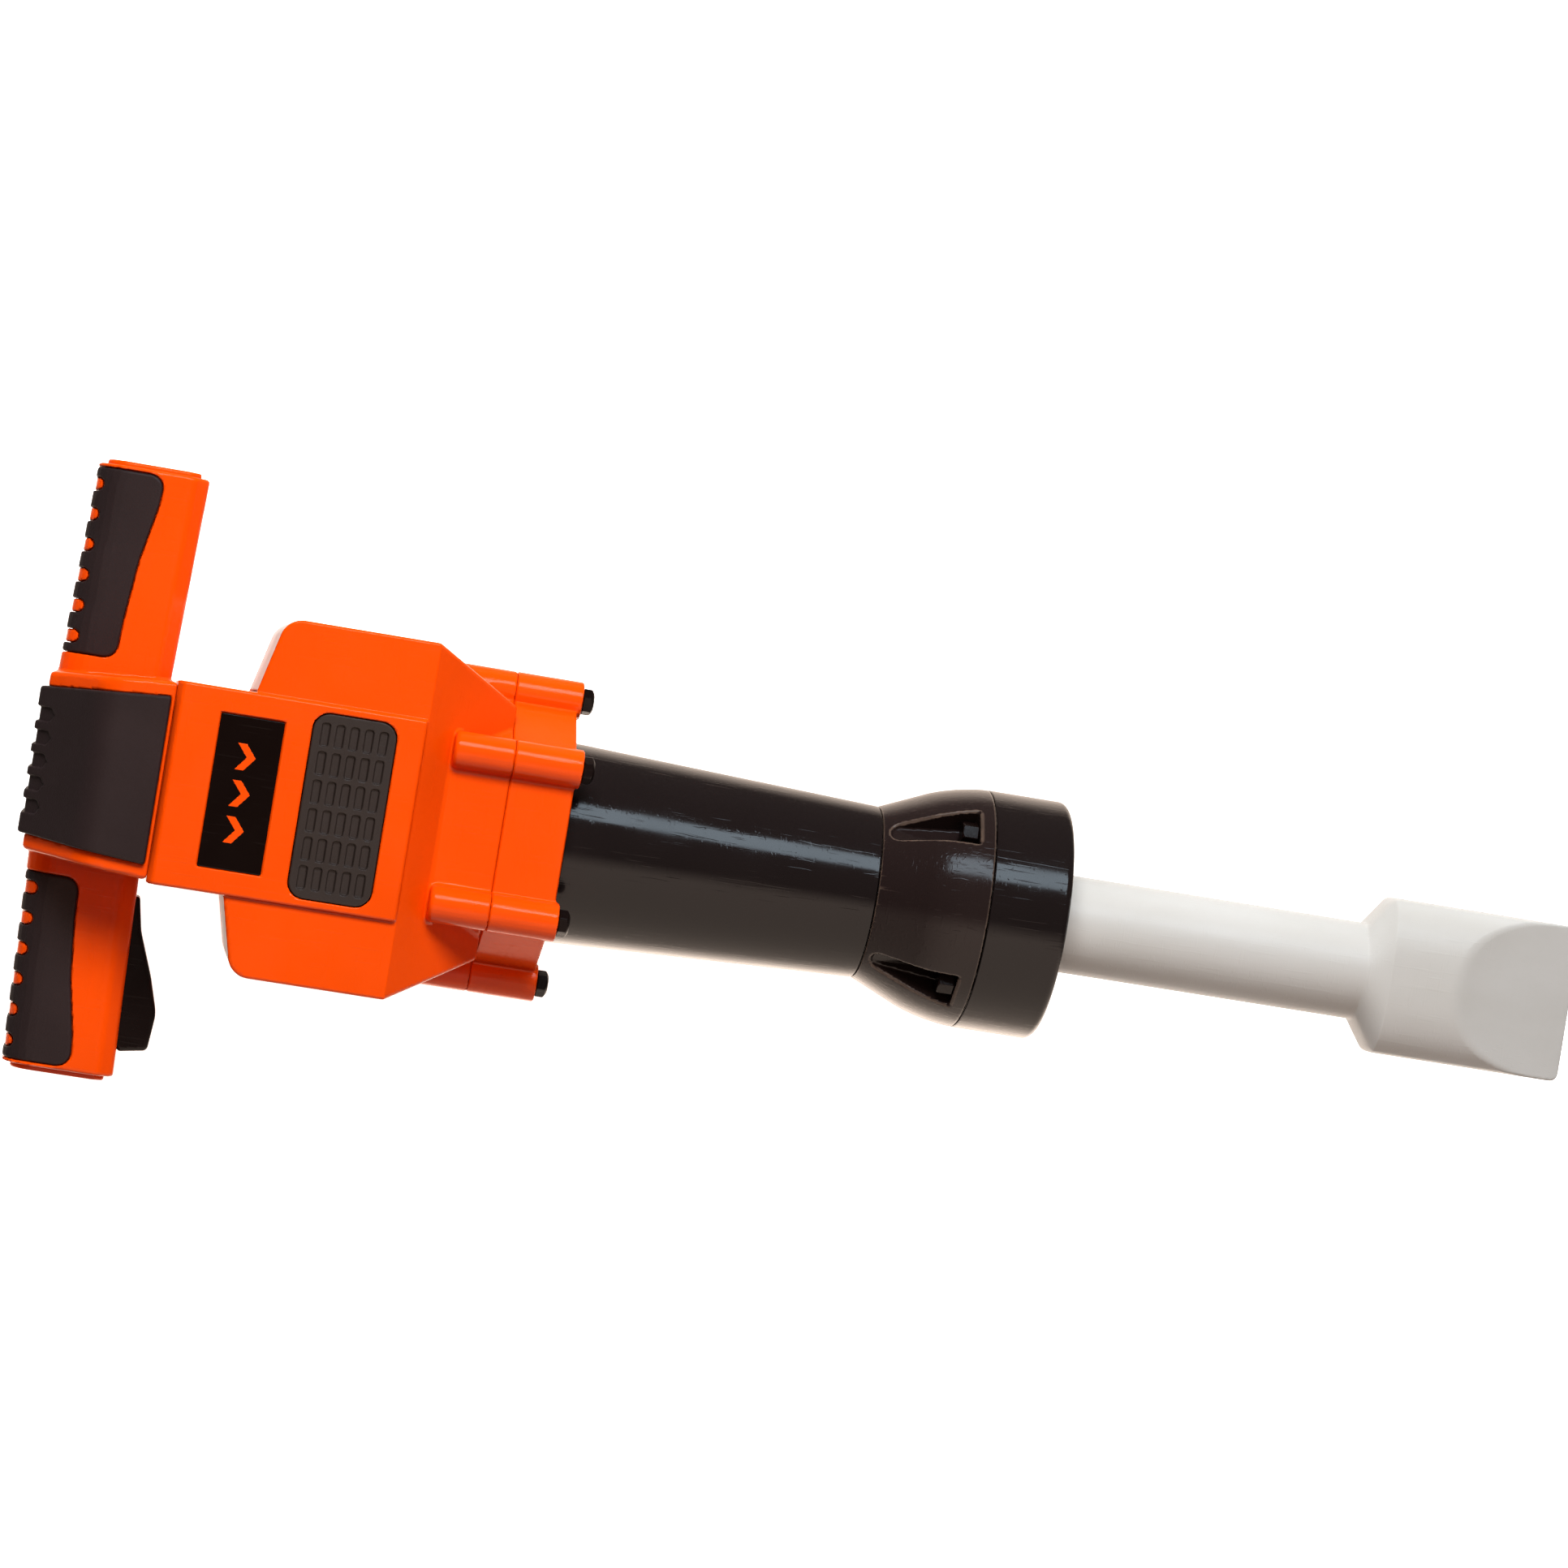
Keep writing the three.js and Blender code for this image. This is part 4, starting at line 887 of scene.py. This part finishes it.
def head_pocket(x, y, z, degrees):
    """Pocket that widens towards its bolt; its floor is level."""
    a = math.radians(degrees)
    across = y * math.cos(a) + z * math.sin(a)
    out = -y * math.sin(a) + z * math.cos(a)
    begin, narrow, wide, floor = POCKET
    along = np.clip((x - begin) / (HEAD_BOLT_SEAT_X - begin), 0, 1)
    sides = (np.abs(across) - narrow - (wide - narrow) * along) * POCKET_LEAN
    pocket = meet(meet(sides, begin - x, 3.0), x - HEAD_BOLT_SEAT_X, 0.8)
    return meet(pocket, floor - out, 0.8)


def head_cone(x, y, z):
    """Cone that widens from the barrel to the collar, with a pocket and a hole for each bolt."""
    start, edge, end = CONE
    run, rise = edge - start, HEAD_R - BARREL[3]
    radius = np.hypot(y, z)
    flare = ((radius - BARREL[3]) * run - (x - start) * rise) / math.hypot(run, rise)
    outside = meet(meet(flare, radius - HEAD_R, 5.0), meet(x - end, start - x), 0.5)
    for degrees in HEAD_ANGLES:
        outside = carve(outside, head_pocket(x, y, z, degrees), 1.3)
        hole = meet(rod(y, z, BOLT_HOLE_R, *head_bolt_place(degrees)), 140 - x)
        outside = carve(outside, hole)
    cavity = meet(radius - HEAD_CAVITY_R, x - HEAD_BOLT_SEAT_X - HEAD_FLOOR)
    return carve(outside, join(cavity, radius - HEAD_BORE_R))


def build_head():
    low, high = (CONE[0], -HEAD_R, -HEAD_R), (CONE[2], HEAD_R, HEAD_R)
    # The head's sharp edges carry a painted highlight.
    make("head_flare", head_cone, low, high, 0.7, HEAD_BLACK, "black_plastic", "head_cone", worn=True)
    form = bolt_form(4.0, (-6, 0), (-1, 17), -1.5, 6.0)
    bolt = moulded("head_bolt_form", form, (-6.5, -5, -5), (17.5, 5, 5), 0.35, BLACK)
    places = [(HEAD_BOLT_SEAT_X - GAP, *head_bolt_place(a), math.radians(45)) for a in HEAD_ANGLES]
    copies(bolt, places, "pocket_bolt", "housing", "black_plastic", "head_bolt")
    build_collar()


def build_collar():
    x0, x1 = COLLAR
    inner = HEAD_R - COLLAR_WALL
    profile = [(x0, inner), *arc_edge(x0 + 0.5, HEAD_R - 0.5, 0.5, 180, 90), (x1 - 14, HEAD_R)]
    profile += arc_edge(x1 - COLLAR_WALL, inner, COLLAR_WALL, 90, 0, 10)
    profile += [(x1, 20.5), *arc_edge(x1 - 0.6, 19.9, 0.6, 45, -90, 4)]
    profile += [(x1 - 3.5, 19.2), (x1 - 3.5, inner)]
    finish_piece(turned("collar_cap", profile, GLOSS), "housing", "gloss_black_plastic", "collar")


# ---- chisel ----
BLADE_PLAN = rounded(mirrored([
    (SHAFT_END_X - 2, SHAFT_R - 3), (SHAFT_END_X + 1, SHAFT_R, 4),
    (BLADE_START_X - 1, BLADE_Y, 5), (TIP_X, BLADE_Y, 3.5),
]))
BEVEL_RISE = 1.5  # the bevel's plane is carried on this far above the blade
BEVEL_RUN = BEVEL_RISE * (TIP_X - BLADE_BEVEL_X) / (BLADE_Z - TIP_Z)
BLADE_SIDE = rounded(mirrored([
    (SHAFT_END_X - 2, BLADE_Z + BEVEL_RISE),
    (BLADE_BEVEL_X - BEVEL_RUN, BLADE_Z + BEVEL_RISE, 12), (TIP_X, TIP_Z),
]))


def blade_section(x, y, z):
    """Distance to the section that widens from the round shaft to the oval of the blade."""
    flare = np.clip((x - SHAFT_END_X) / (BLADE_START_X - SHAFT_END_X), 0, 1)
    half_y = SHAFT_R + (BLADE_Y + 1 - SHAFT_R) * flare
    half_z = SHAFT_R + (BLADE_Z - SHAFT_R) * flare
    power = 2 + 0.5 * flare
    oval = ((np.abs(y) / half_y) ** power + (np.abs(z) / half_z) ** power) ** (1 / power)
    return (oval - 1) * half_z * 0.8


def chisel_form(x, y, z):
    """Hollow round shaft with a wide blade, bevelled on both sides."""
    radius = np.hypot(y, z)
    shaft = meet(radius - SHAFT_R, meet(x - BLADE_START_X, SHAFT_START_X - x), 0.5)
    blade = meet(polygon(x, y, BLADE_PLAN), blade_section(x, y, z), 1.2)
    blade = meet(blade, polygon(x, z, BLADE_SIDE), 0.8)
    bore = meet(radius - SHAFT_R + SHAFT_WALL, x - SHAFT_END_X)
    return carve(join(shaft, blade), bore)


def build_chisel():
    low, high = (SHAFT_START_X, -BLADE_Y, -BLADE_Z), (TIP_X, BLADE_Y, BLADE_Z)
    make(
        "chisel_blade", chisel_form, low, high, 0.8, SILVER,
        "silver_plastic", "chisel", body="chisel", flatten=0.25)


# ---- handle ----
def hub_profile(grow):
    """Outline of the hub seen along the handle; the pad's lies further out by grow."""
    return rounded(mirrored([
        (NECK_X - SEAM, HUB_Z + grow), (-172 - grow * 0.3, HUB_Z - 0.6 + grow, 14),
        (HUB_LEFT_X - grow, 25 + grow * 0.4, 4),
    ]), 10)


HUB_OUTLINE = hub_profile(0)
HUB_PAD_OUTLINE = hub_profile(HUB_PAD_PROUD)


def band(x, y, halves):
    """Band about y = 0 that narrows from halves[0] at the neck to halves[1] at the handle end."""
    slope = (halves[0] - halves[1]) / (NECK_X - HUB_LEFT_X)
    return (np.abs(y) - halves[0] + slope * (NECK_X - x)) / math.hypot(1, slope)


def grip_outline():
    """Section of a grip: round towards the palm, chamfered towards the chisel."""
    half_x, half_z = GRIP_HALF
    chamfer = 5.5
    return rounded([
        (-half_x, -half_z, 11), (half_x - chamfer, -half_z, 5), (half_x, chamfer - half_z, 5),
        (half_x, half_z - chamfer, 5), (half_x - chamfer, half_z, 5), (-half_x, half_z, 11),
    ], 6)


GRIP_SECTION = grip_outline()


def grip_section(x, y, z):
    return polygon(x - GRIP_MID_X - GRIP_SWEEP * np.abs(y), z, GRIP_SECTION)


def grip_windows(x, y, grow):
    """Rounded windows through the wrap of a grip pad, at the handle end."""
    height, depth = 5.3, 4.4
    dv = to_nearest(np.abs(y) - 73.7, 11.1, 6)
    end = GRIP_MID_X - GRIP_HALF[0] + 2.3 + depth - height / 2
    return np.hypot(np.maximum(x - end, 0), dv) - height / 2 - grow


PAD_OUTLINE = rounded([
    (-230, 40.1), (-171.2, 40.1, 5), (-170.6, 55, 10), (-168.6, 76, 25),
    (-164.6, 97, 20), (-163.8, 107.6, 5), (-230, 107.6),
], 6)


def pad_outline(x, y):
    return polygon(x, np.abs(y), PAD_OUTLINE)


def grip_pad(x, y, z, side):
    section = grip_section(x, y, z)
    pad = meet(meet(section, pad_outline(x, y), 0.9), -side * y, 0)
    pad = carve(pad, section + PAD_DEPTH)
    return carve(pad, grip_windows(x, y, 0), 0.4)


def hub_windows(x, y):
    """Rounded pockets in the hub's pad, at the handle end."""
    height, depth, corner = 5.3, 5.8, 1.6
    end = HUB_LEFT_X - HUB_PAD_PROUD + depth
    across = np.abs(to_nearest(y, 8.3, 5)) - height / 2 + corner
    return np.hypot(np.maximum(x - end + corner, 0), np.maximum(across, 0)) + np.minimum(across, 0) - corner


def hub_pad(x, y, z):
    outside = polygon(x, z, HUB_PAD_OUTLINE)
    pad = meet(meet(outside, band(x, y, HUB_PAD_TAPER), 0.9), x - HUB_PAD_END_X, 0.9)
    pocket = carve(hub_windows(x, y), outside + 1.2)
    pad = carve(pad, pocket, 0.4)
    return carve(pad, outside + HUB_PAD_PROUD + 1.0)


def pad_seats(x, y, z, section, hub_body):
    """Seats for the grip pads, with bumps that fill their windows, and for the hub's pad."""
    grips = carve(pad_outline(x, y) - GAP, section + PAD_DEPTH + GAP)
    bumps = meet(grip_windows(x, y, -0.35), section + 0.5)
    hub = carve(meet(band(x, y, HUB_PAD_TAPER), x - HUB_PAD_END_X) - 0.15, hub_body + HUB_SEAT)
    return carve(grips, bumps), carve(hub, polygon(x, z, HUB_OUTLINE) + HUB_SEAT)


def with_openings(shell, x, y, z, section):
    """The handle's shell with its end caps' seats, the trigger's slot and pin, and the way to the neck."""
    cap = meet(section + 2.9, GRIP_END_Y - 2 - np.abs(y))
    slot_z = TRIGGER_HALF_Z + 0.5
    slot = box((x, y, z), (-165, -101.6, -slot_z), (-130, -41.5, slot_z), 0.8)
    neck = box((x, y, z), (NECK_X - 9, -NECK_HOLE, -NECK_HOLE), (NECK_X + 9, NECK_HOLE, NECK_HOLE))
    shell = carve(carve(carve(shell, neck), cap, 0.3), slot, 0.3)
    boss = meet(rod(x, y, 4, *TRIGGER_PIVOT), slab(np.abs(z), 10, 14.8))
    pin = meet(rod(x, y, TRIGGER_PIN_R, *TRIGGER_PIVOT), np.abs(z) - 14.3)
    return carve(join(shell, boss), pin)


def handle_shell(x, y, z, side):
    """Half of the hollow handle: hub, both grips, screw bosses and openings."""
    section = grip_section(x, y, z)
    far = np.abs(y)
    grips = meet(section, meet(far - GRIP_END_Y, 20 - far), 1.2)
    hub_body = meet(polygon(x, z, HUB_OUTLINE), band(x, y, HUB_TAPER), 1.8)
    outside = join(hub_body, grips, 1.2)
    grip_cavity = meet(section + HANDLE_WALL, far - GRIP_END_Y + 4.5)
    inner = join(hub_body + HANDLE_WALL, grip_cavity)
    bosses = [rod(x, y, 3.8, sx, sy) for sx, sy in HANDLE_SCREWS]
    bosses = meet(np.minimum.reduce(bosses), np.abs(z) - 14)
    shell = join(carve(outside, inner), bosses)
    grip_seat, hub_seat = pad_seats(x, y, z, section, hub_body)
    shell = carve(carve(shell, grip_seat, 0.3), hub_seat, 0.3)
    shell = with_openings(shell, x, y, z, section)
    for sx, sy in HANDLE_SCREWS:
        hole = meet(rod(x, y, SCREW_HOLE_R, sx, sy), z - 10)
        sink = meet(rod(x, y, 3.1, sx, sy), z + 11)
        shell = carve(carve(shell, hole), sink, 0.3)
    return meet(shell, GAP / 2 - side * z, 0.25)


def end_cap(x, y, z, side):
    section = grip_section(x, np.full(y.shape, GRIP_END_Y), z) + 3.2
    return meet(section, slab(side * y, GRIP_END_Y - 1.7, GRIP_END_Y + 1.8), 0.8)


def build_handle():
    x0, x1 = HUB_LEFT_X - HUB_PAD_PROUD, NECK_X + 1
    for name, side in (("front", 1), ("rear", -1)):
        low = (x0, -GRIP_END_Y, min(side * HUB_Z, 0))
        high = (x1, GRIP_END_Y, max(side * HUB_Z, 0))
        make(
            f"handle_{name}_half", partial(handle_shell, side=side), low, high, 0.9, ORANGE,
            "orange_plastic", f"handle_{name}_shell")
    pad_z = HUB_Z + HUB_PAD_PROUD
    make("hub_wrap", hub_pad, (x0, -32, -pad_z), (x1, 32, pad_z), 0.75, GRIP, "soft_grip", "hub_pad")
    for name, side in (("plain", 1), ("trigger", -1)):
        y0, y1 = sorted((side * 38, side * 112))
        low, high = (HUB_LEFT_X, y0, -19), (-160, y1, 19)
        make(
            f"grip_wrap_{name}", partial(grip_pad, side=side), low, high, 0.7, GRIP,
            "soft_grip", f"grip_pad_{name}")
        low, high = (HUB_LEFT_X, y0, -19), (-145, y1, 19)
        make(
            f"grip_end_{name}", partial(end_cap, side=side), low, high, 0.8, ORANGE,
            "orange_plastic", f"end_cap_{name}")


# ---- trigger ----
TRIGGER_OUTLINE = rounded([
    (-161.6, -43.4, 3), (-151.5, -43.4, 1), (-148.6, -43.6, 1), (-146.2, -56, 20),
    (-140, -72, 25), (-136.2, -84.5, 14), (-137.4, -98.2, 2), (-147.3, -99.9, 1),
    (-149, -98.6, 1), (-154.6, -98.4, 1), (-155, -60, 3), (-161.6, -52, 3),
], 6)


def trigger_form(x, y, z):
    blade = meet(polygon(x, y, TRIGGER_OUTLINE), np.abs(z) - TRIGGER_HALF_Z, 1.6)
    return carve(blade, rod(x, y, TRIGGER_PIN_R, *TRIGGER_PIVOT))


def build_trigger():
    low, high = (-163, -101, -TRIGGER_HALF_Z), (-135, -42, TRIGGER_HALF_Z)
    make("trigger_lever", trigger_form, low, high, 0.6, BLACK, "black_plastic", "trigger", body="trigger")


# ---- pieces on the back, and screws ----
def battery_door(x, y, z):
    """Door with a sunk hole for its screw and three thumb grooves."""
    x0, x1, half = DOOR
    plate = box((x, y, z), (x0, -half, -PANEL_Z), (x1, half, 2.4 - PANEL_Z), 0.6)
    plate = carve(plate, rod(x, y, DOOR_SCREW_R, DOOR_SCREW_X, 0))
    sink = meet(rod(x, y, DOOR_SCREW_HEAD_R, DOOR_SCREW_X, 0), z + PANEL_Z - 1.7)
    plate = carve(plate, sink, 0.3)
    grooves = meet(np.abs(to_nearest(x + 71, 3, 3)) - 0.6, np.abs(y) - 9)
    return carve(plate, meet(grooves, z + PANEL_Z - 0.7), 0.25)


def switch_knob(x, y, z):
    x0, x1, _ = SWITCH
    knob = box((x, y, z), (x0 + 2.5, -8, 0.3 - PANEL_Z), (x1 - 2.5, -2.5, 1.1 - PANEL_Z), 0.3)
    return join(knob, box((x, y, z), (x0 + 4.4, -7, 1 - PANEL_Z), (x1 - 4.4, -3.5, 6 - PANEL_Z), 0.3))


def screw_form(head_r, shank_r, length):
    """Cross-headed screw along +z with the underside of its head at 0."""
    def field(x, y, z):
        ball_r = head_r * 1.2
        dome = np.sqrt(x ** 2 + y ** 2 + (z - ball_r) ** 2) - ball_r - 2.3
        head = meet(meet(rod(x, y, head_r), slab(z, -2.4, 0), 0.3), dome, 0.2)
        wide, narrow = head_r * 0.62, 0.55
        across, along = np.abs(x), np.abs(y)
        cross = join(meet(across - narrow, along - wide), meet(along - narrow, across - wide))
        head = carve(head, meet(cross, z + 1.0), 0.15)
        return join(head, meet(rod(x, y, shank_r), slab(z, -0.5, length)))
    return field


def build_back():
    x0, x1, half = DOOR
    low, high = (x0, -half, -PANEL_Z), (x1, half, 3 - PANEL_Z)
    make(
        "battery_hatch", battery_door, low, high, 0.6, ORANGE,
        "orange_plastic", "battery_door", body="battery_door")
    low, high = (SWITCH[0], -9, -PANEL_Z), (SWITCH[1], -2, 7 - PANEL_Z)
    make(
        "switch_knob", switch_knob, low, high, 0.45, BLACK,
        "black_plastic", "power_switch", body="power_switch")


def build_screws():
    screw = moulded("case_screw_form", screw_form(3.4, 1.6, 61), (-4, -4, -3), (4, 4, 62), 0.4, STEEL)
    places = [(x, y, 7 - GAP - LOBE_Z, 0) for x, y in CASE_SCREWS]
    copies(screw, places, "case_fastener", "housing", "steel", "case_screw")
    screw = moulded("handle_screw_form", screw_form(2.8, 1.6, 19), (-4, -4, -3), (4, 4, 20), 0.35, STEEL)
    places = [(x, y, -11 - GAP, 0) for x, y in HANDLE_SCREWS]
    copies(screw, places, "handle_fastener", "housing", "steel", "handle_screw")


# ---- CAD nodes that stay, with a finish of their own ----
def dress_cad_nodes():
    slots = {row["node"]: row["material_slot"] for row in frame["record"]["subparts"]}
    for name, obj in frame["nodes"].items():
        if obj.hide_render:
            continue
        obj.data.materials.clear()
        obj.data.materials.append(SLOT_MATERIALS[slots[name]])
        bevel = obj.modifiers.new("edges", "BEVEL")
        bevel.width = 0.00025
        bevel.segments = 2
        bevel.limit_method = "ANGLE"
        bevel.angle_limit = math.radians(40)


# ---- studio ----
def build_camera():
    """Looks almost straight down, leaning towards the chisel, with the tool axis down to the right."""
    data = bpy.data.cameras.new("camera")
    data.sensor_width = 36
    data.lens = 112.8
    data.clip_end = 20
    camera = bpy.data.objects.new("camera", data)
    bpy.context.scene.collection.objects.link(camera)
    eye, target = place(-165.6, 34.5, 1800), place(77.8, 34.5, 0)
    forward = (target - eye).normalized()
    across = Vector((0, 1, 0))
    roll = Matrix.Rotation(math.radians(-9.3), 3, forward)
    right, up = roll @ forward.cross(across).normalized(), roll @ across
    camera.matrix_world = Matrix.Translation(eye) @ Matrix((right, up, -forward)).transposed().to_4x4()
    bpy.context.scene.camera = camera


def area_light(name, position, size, power, colour, glossy=True):
    """Soft rectangle aimed at the middle of the toy; without glossy it isn't mirrored in surfaces."""
    data = bpy.data.lights.new(name, "AREA")
    data.shape = "RECTANGLE"
    data.size, data.size_y = size
    data.energy = power
    data.color = colour
    light = bpy.data.objects.new(name, data)
    bpy.context.scene.collection.objects.link(light)
    light.location = position
    light.rotation_euler = (-Vector(position)).to_track_quat("-Z", "Y").to_euler()
    light.visible_glossy = glossy


def light_tent():
    """What gloss mirrors: bright on the trigger's side and below, dim overhead and towards the handle."""
    world = bpy.data.worlds.new("light_tent")
    world.use_nodes = True
    tree = world.node_tree
    where = tree.nodes.new("ShaderNodeTexCoord")
    split = tree.nodes.new("ShaderNodeSeparateXYZ")
    tree.links.new(where.outputs["Generated"], split.inputs["Vector"])
    trigger_side = ramp(tree, split.outputs["Y"], 1.15, 0.13, -0.35, -0.12)
    below = ramp(tree, split.outputs["Z"], 1.0, 0, -0.8, -0.55)
    towards_chisel = ramp(tree, split.outputs["X"], 0.2, 1, -0.75, -0.2)
    strength = combined(tree, "MULTIPLY", combined(tree, "ADD", trigger_side, below), towards_chisel)
    tree.links.new(strength, tree.nodes["Background"].inputs["Strength"])
    tree.nodes["Background"].inputs["Color"].default_value = (1, 0.84, 0.72, 1)
    bpy.context.scene.world = world
    world.cycles_visibility.diffuse = False


def build_floor():
    half, drop = 6.0, 0.002
    corners = [(-half, -half, 0), (half, -half, 0), (half, half, 0), (-half, half, 0)]
    mesh = bpy.data.meshes.new("floor")
    mesh.from_pydata(corners, [], [(0, 1, 2, 3)])
    glow = {"Emission_Color": (1, 0.99, 0.97, 1), "Emission_Strength": 0.8}
    paper = material("floor_paper", (246, 246, 246), 0.9, **glow)
    add_bump(paper, noise(paper.node_tree, 300, 3), 0.0001, 0.3)
    mesh.materials.append(paper)
    floor = bpy.data.objects.new("floor", mesh)
    floor.location.z = -drop
    floor.visible_glossy = False
    bpy.context.scene.collection.objects.link(floor)


def build_studio():
    build_floor()
    light_tent()
    area_light("key", (-0.25, 1.25, 1.5), (1.0, 0.8), 43, (0.97, 1, 1), glossy=False)
    area_light("overhead", (0.1, -0.1, 2.2), (1.5, 1.5), 14, (1, 0.74, 0.6), glossy=False)
    area_light("softbox", (0.2, 1.3, 1.55), (1.8, 0.6), 16, (0.72, 0.88, 1.0))
    bpy.context.scene.view_settings.view_transform = "Standard"
    bpy.context.scene.view_settings.look = "Medium High Contrast"


build_camera()
build_studio()
build_housing()
build_front_trim()
build_nose()
build_barrel()
build_head()
build_chisel()
build_handle()
build_trigger()
build_back()
build_screws()
dress_cad_nodes()
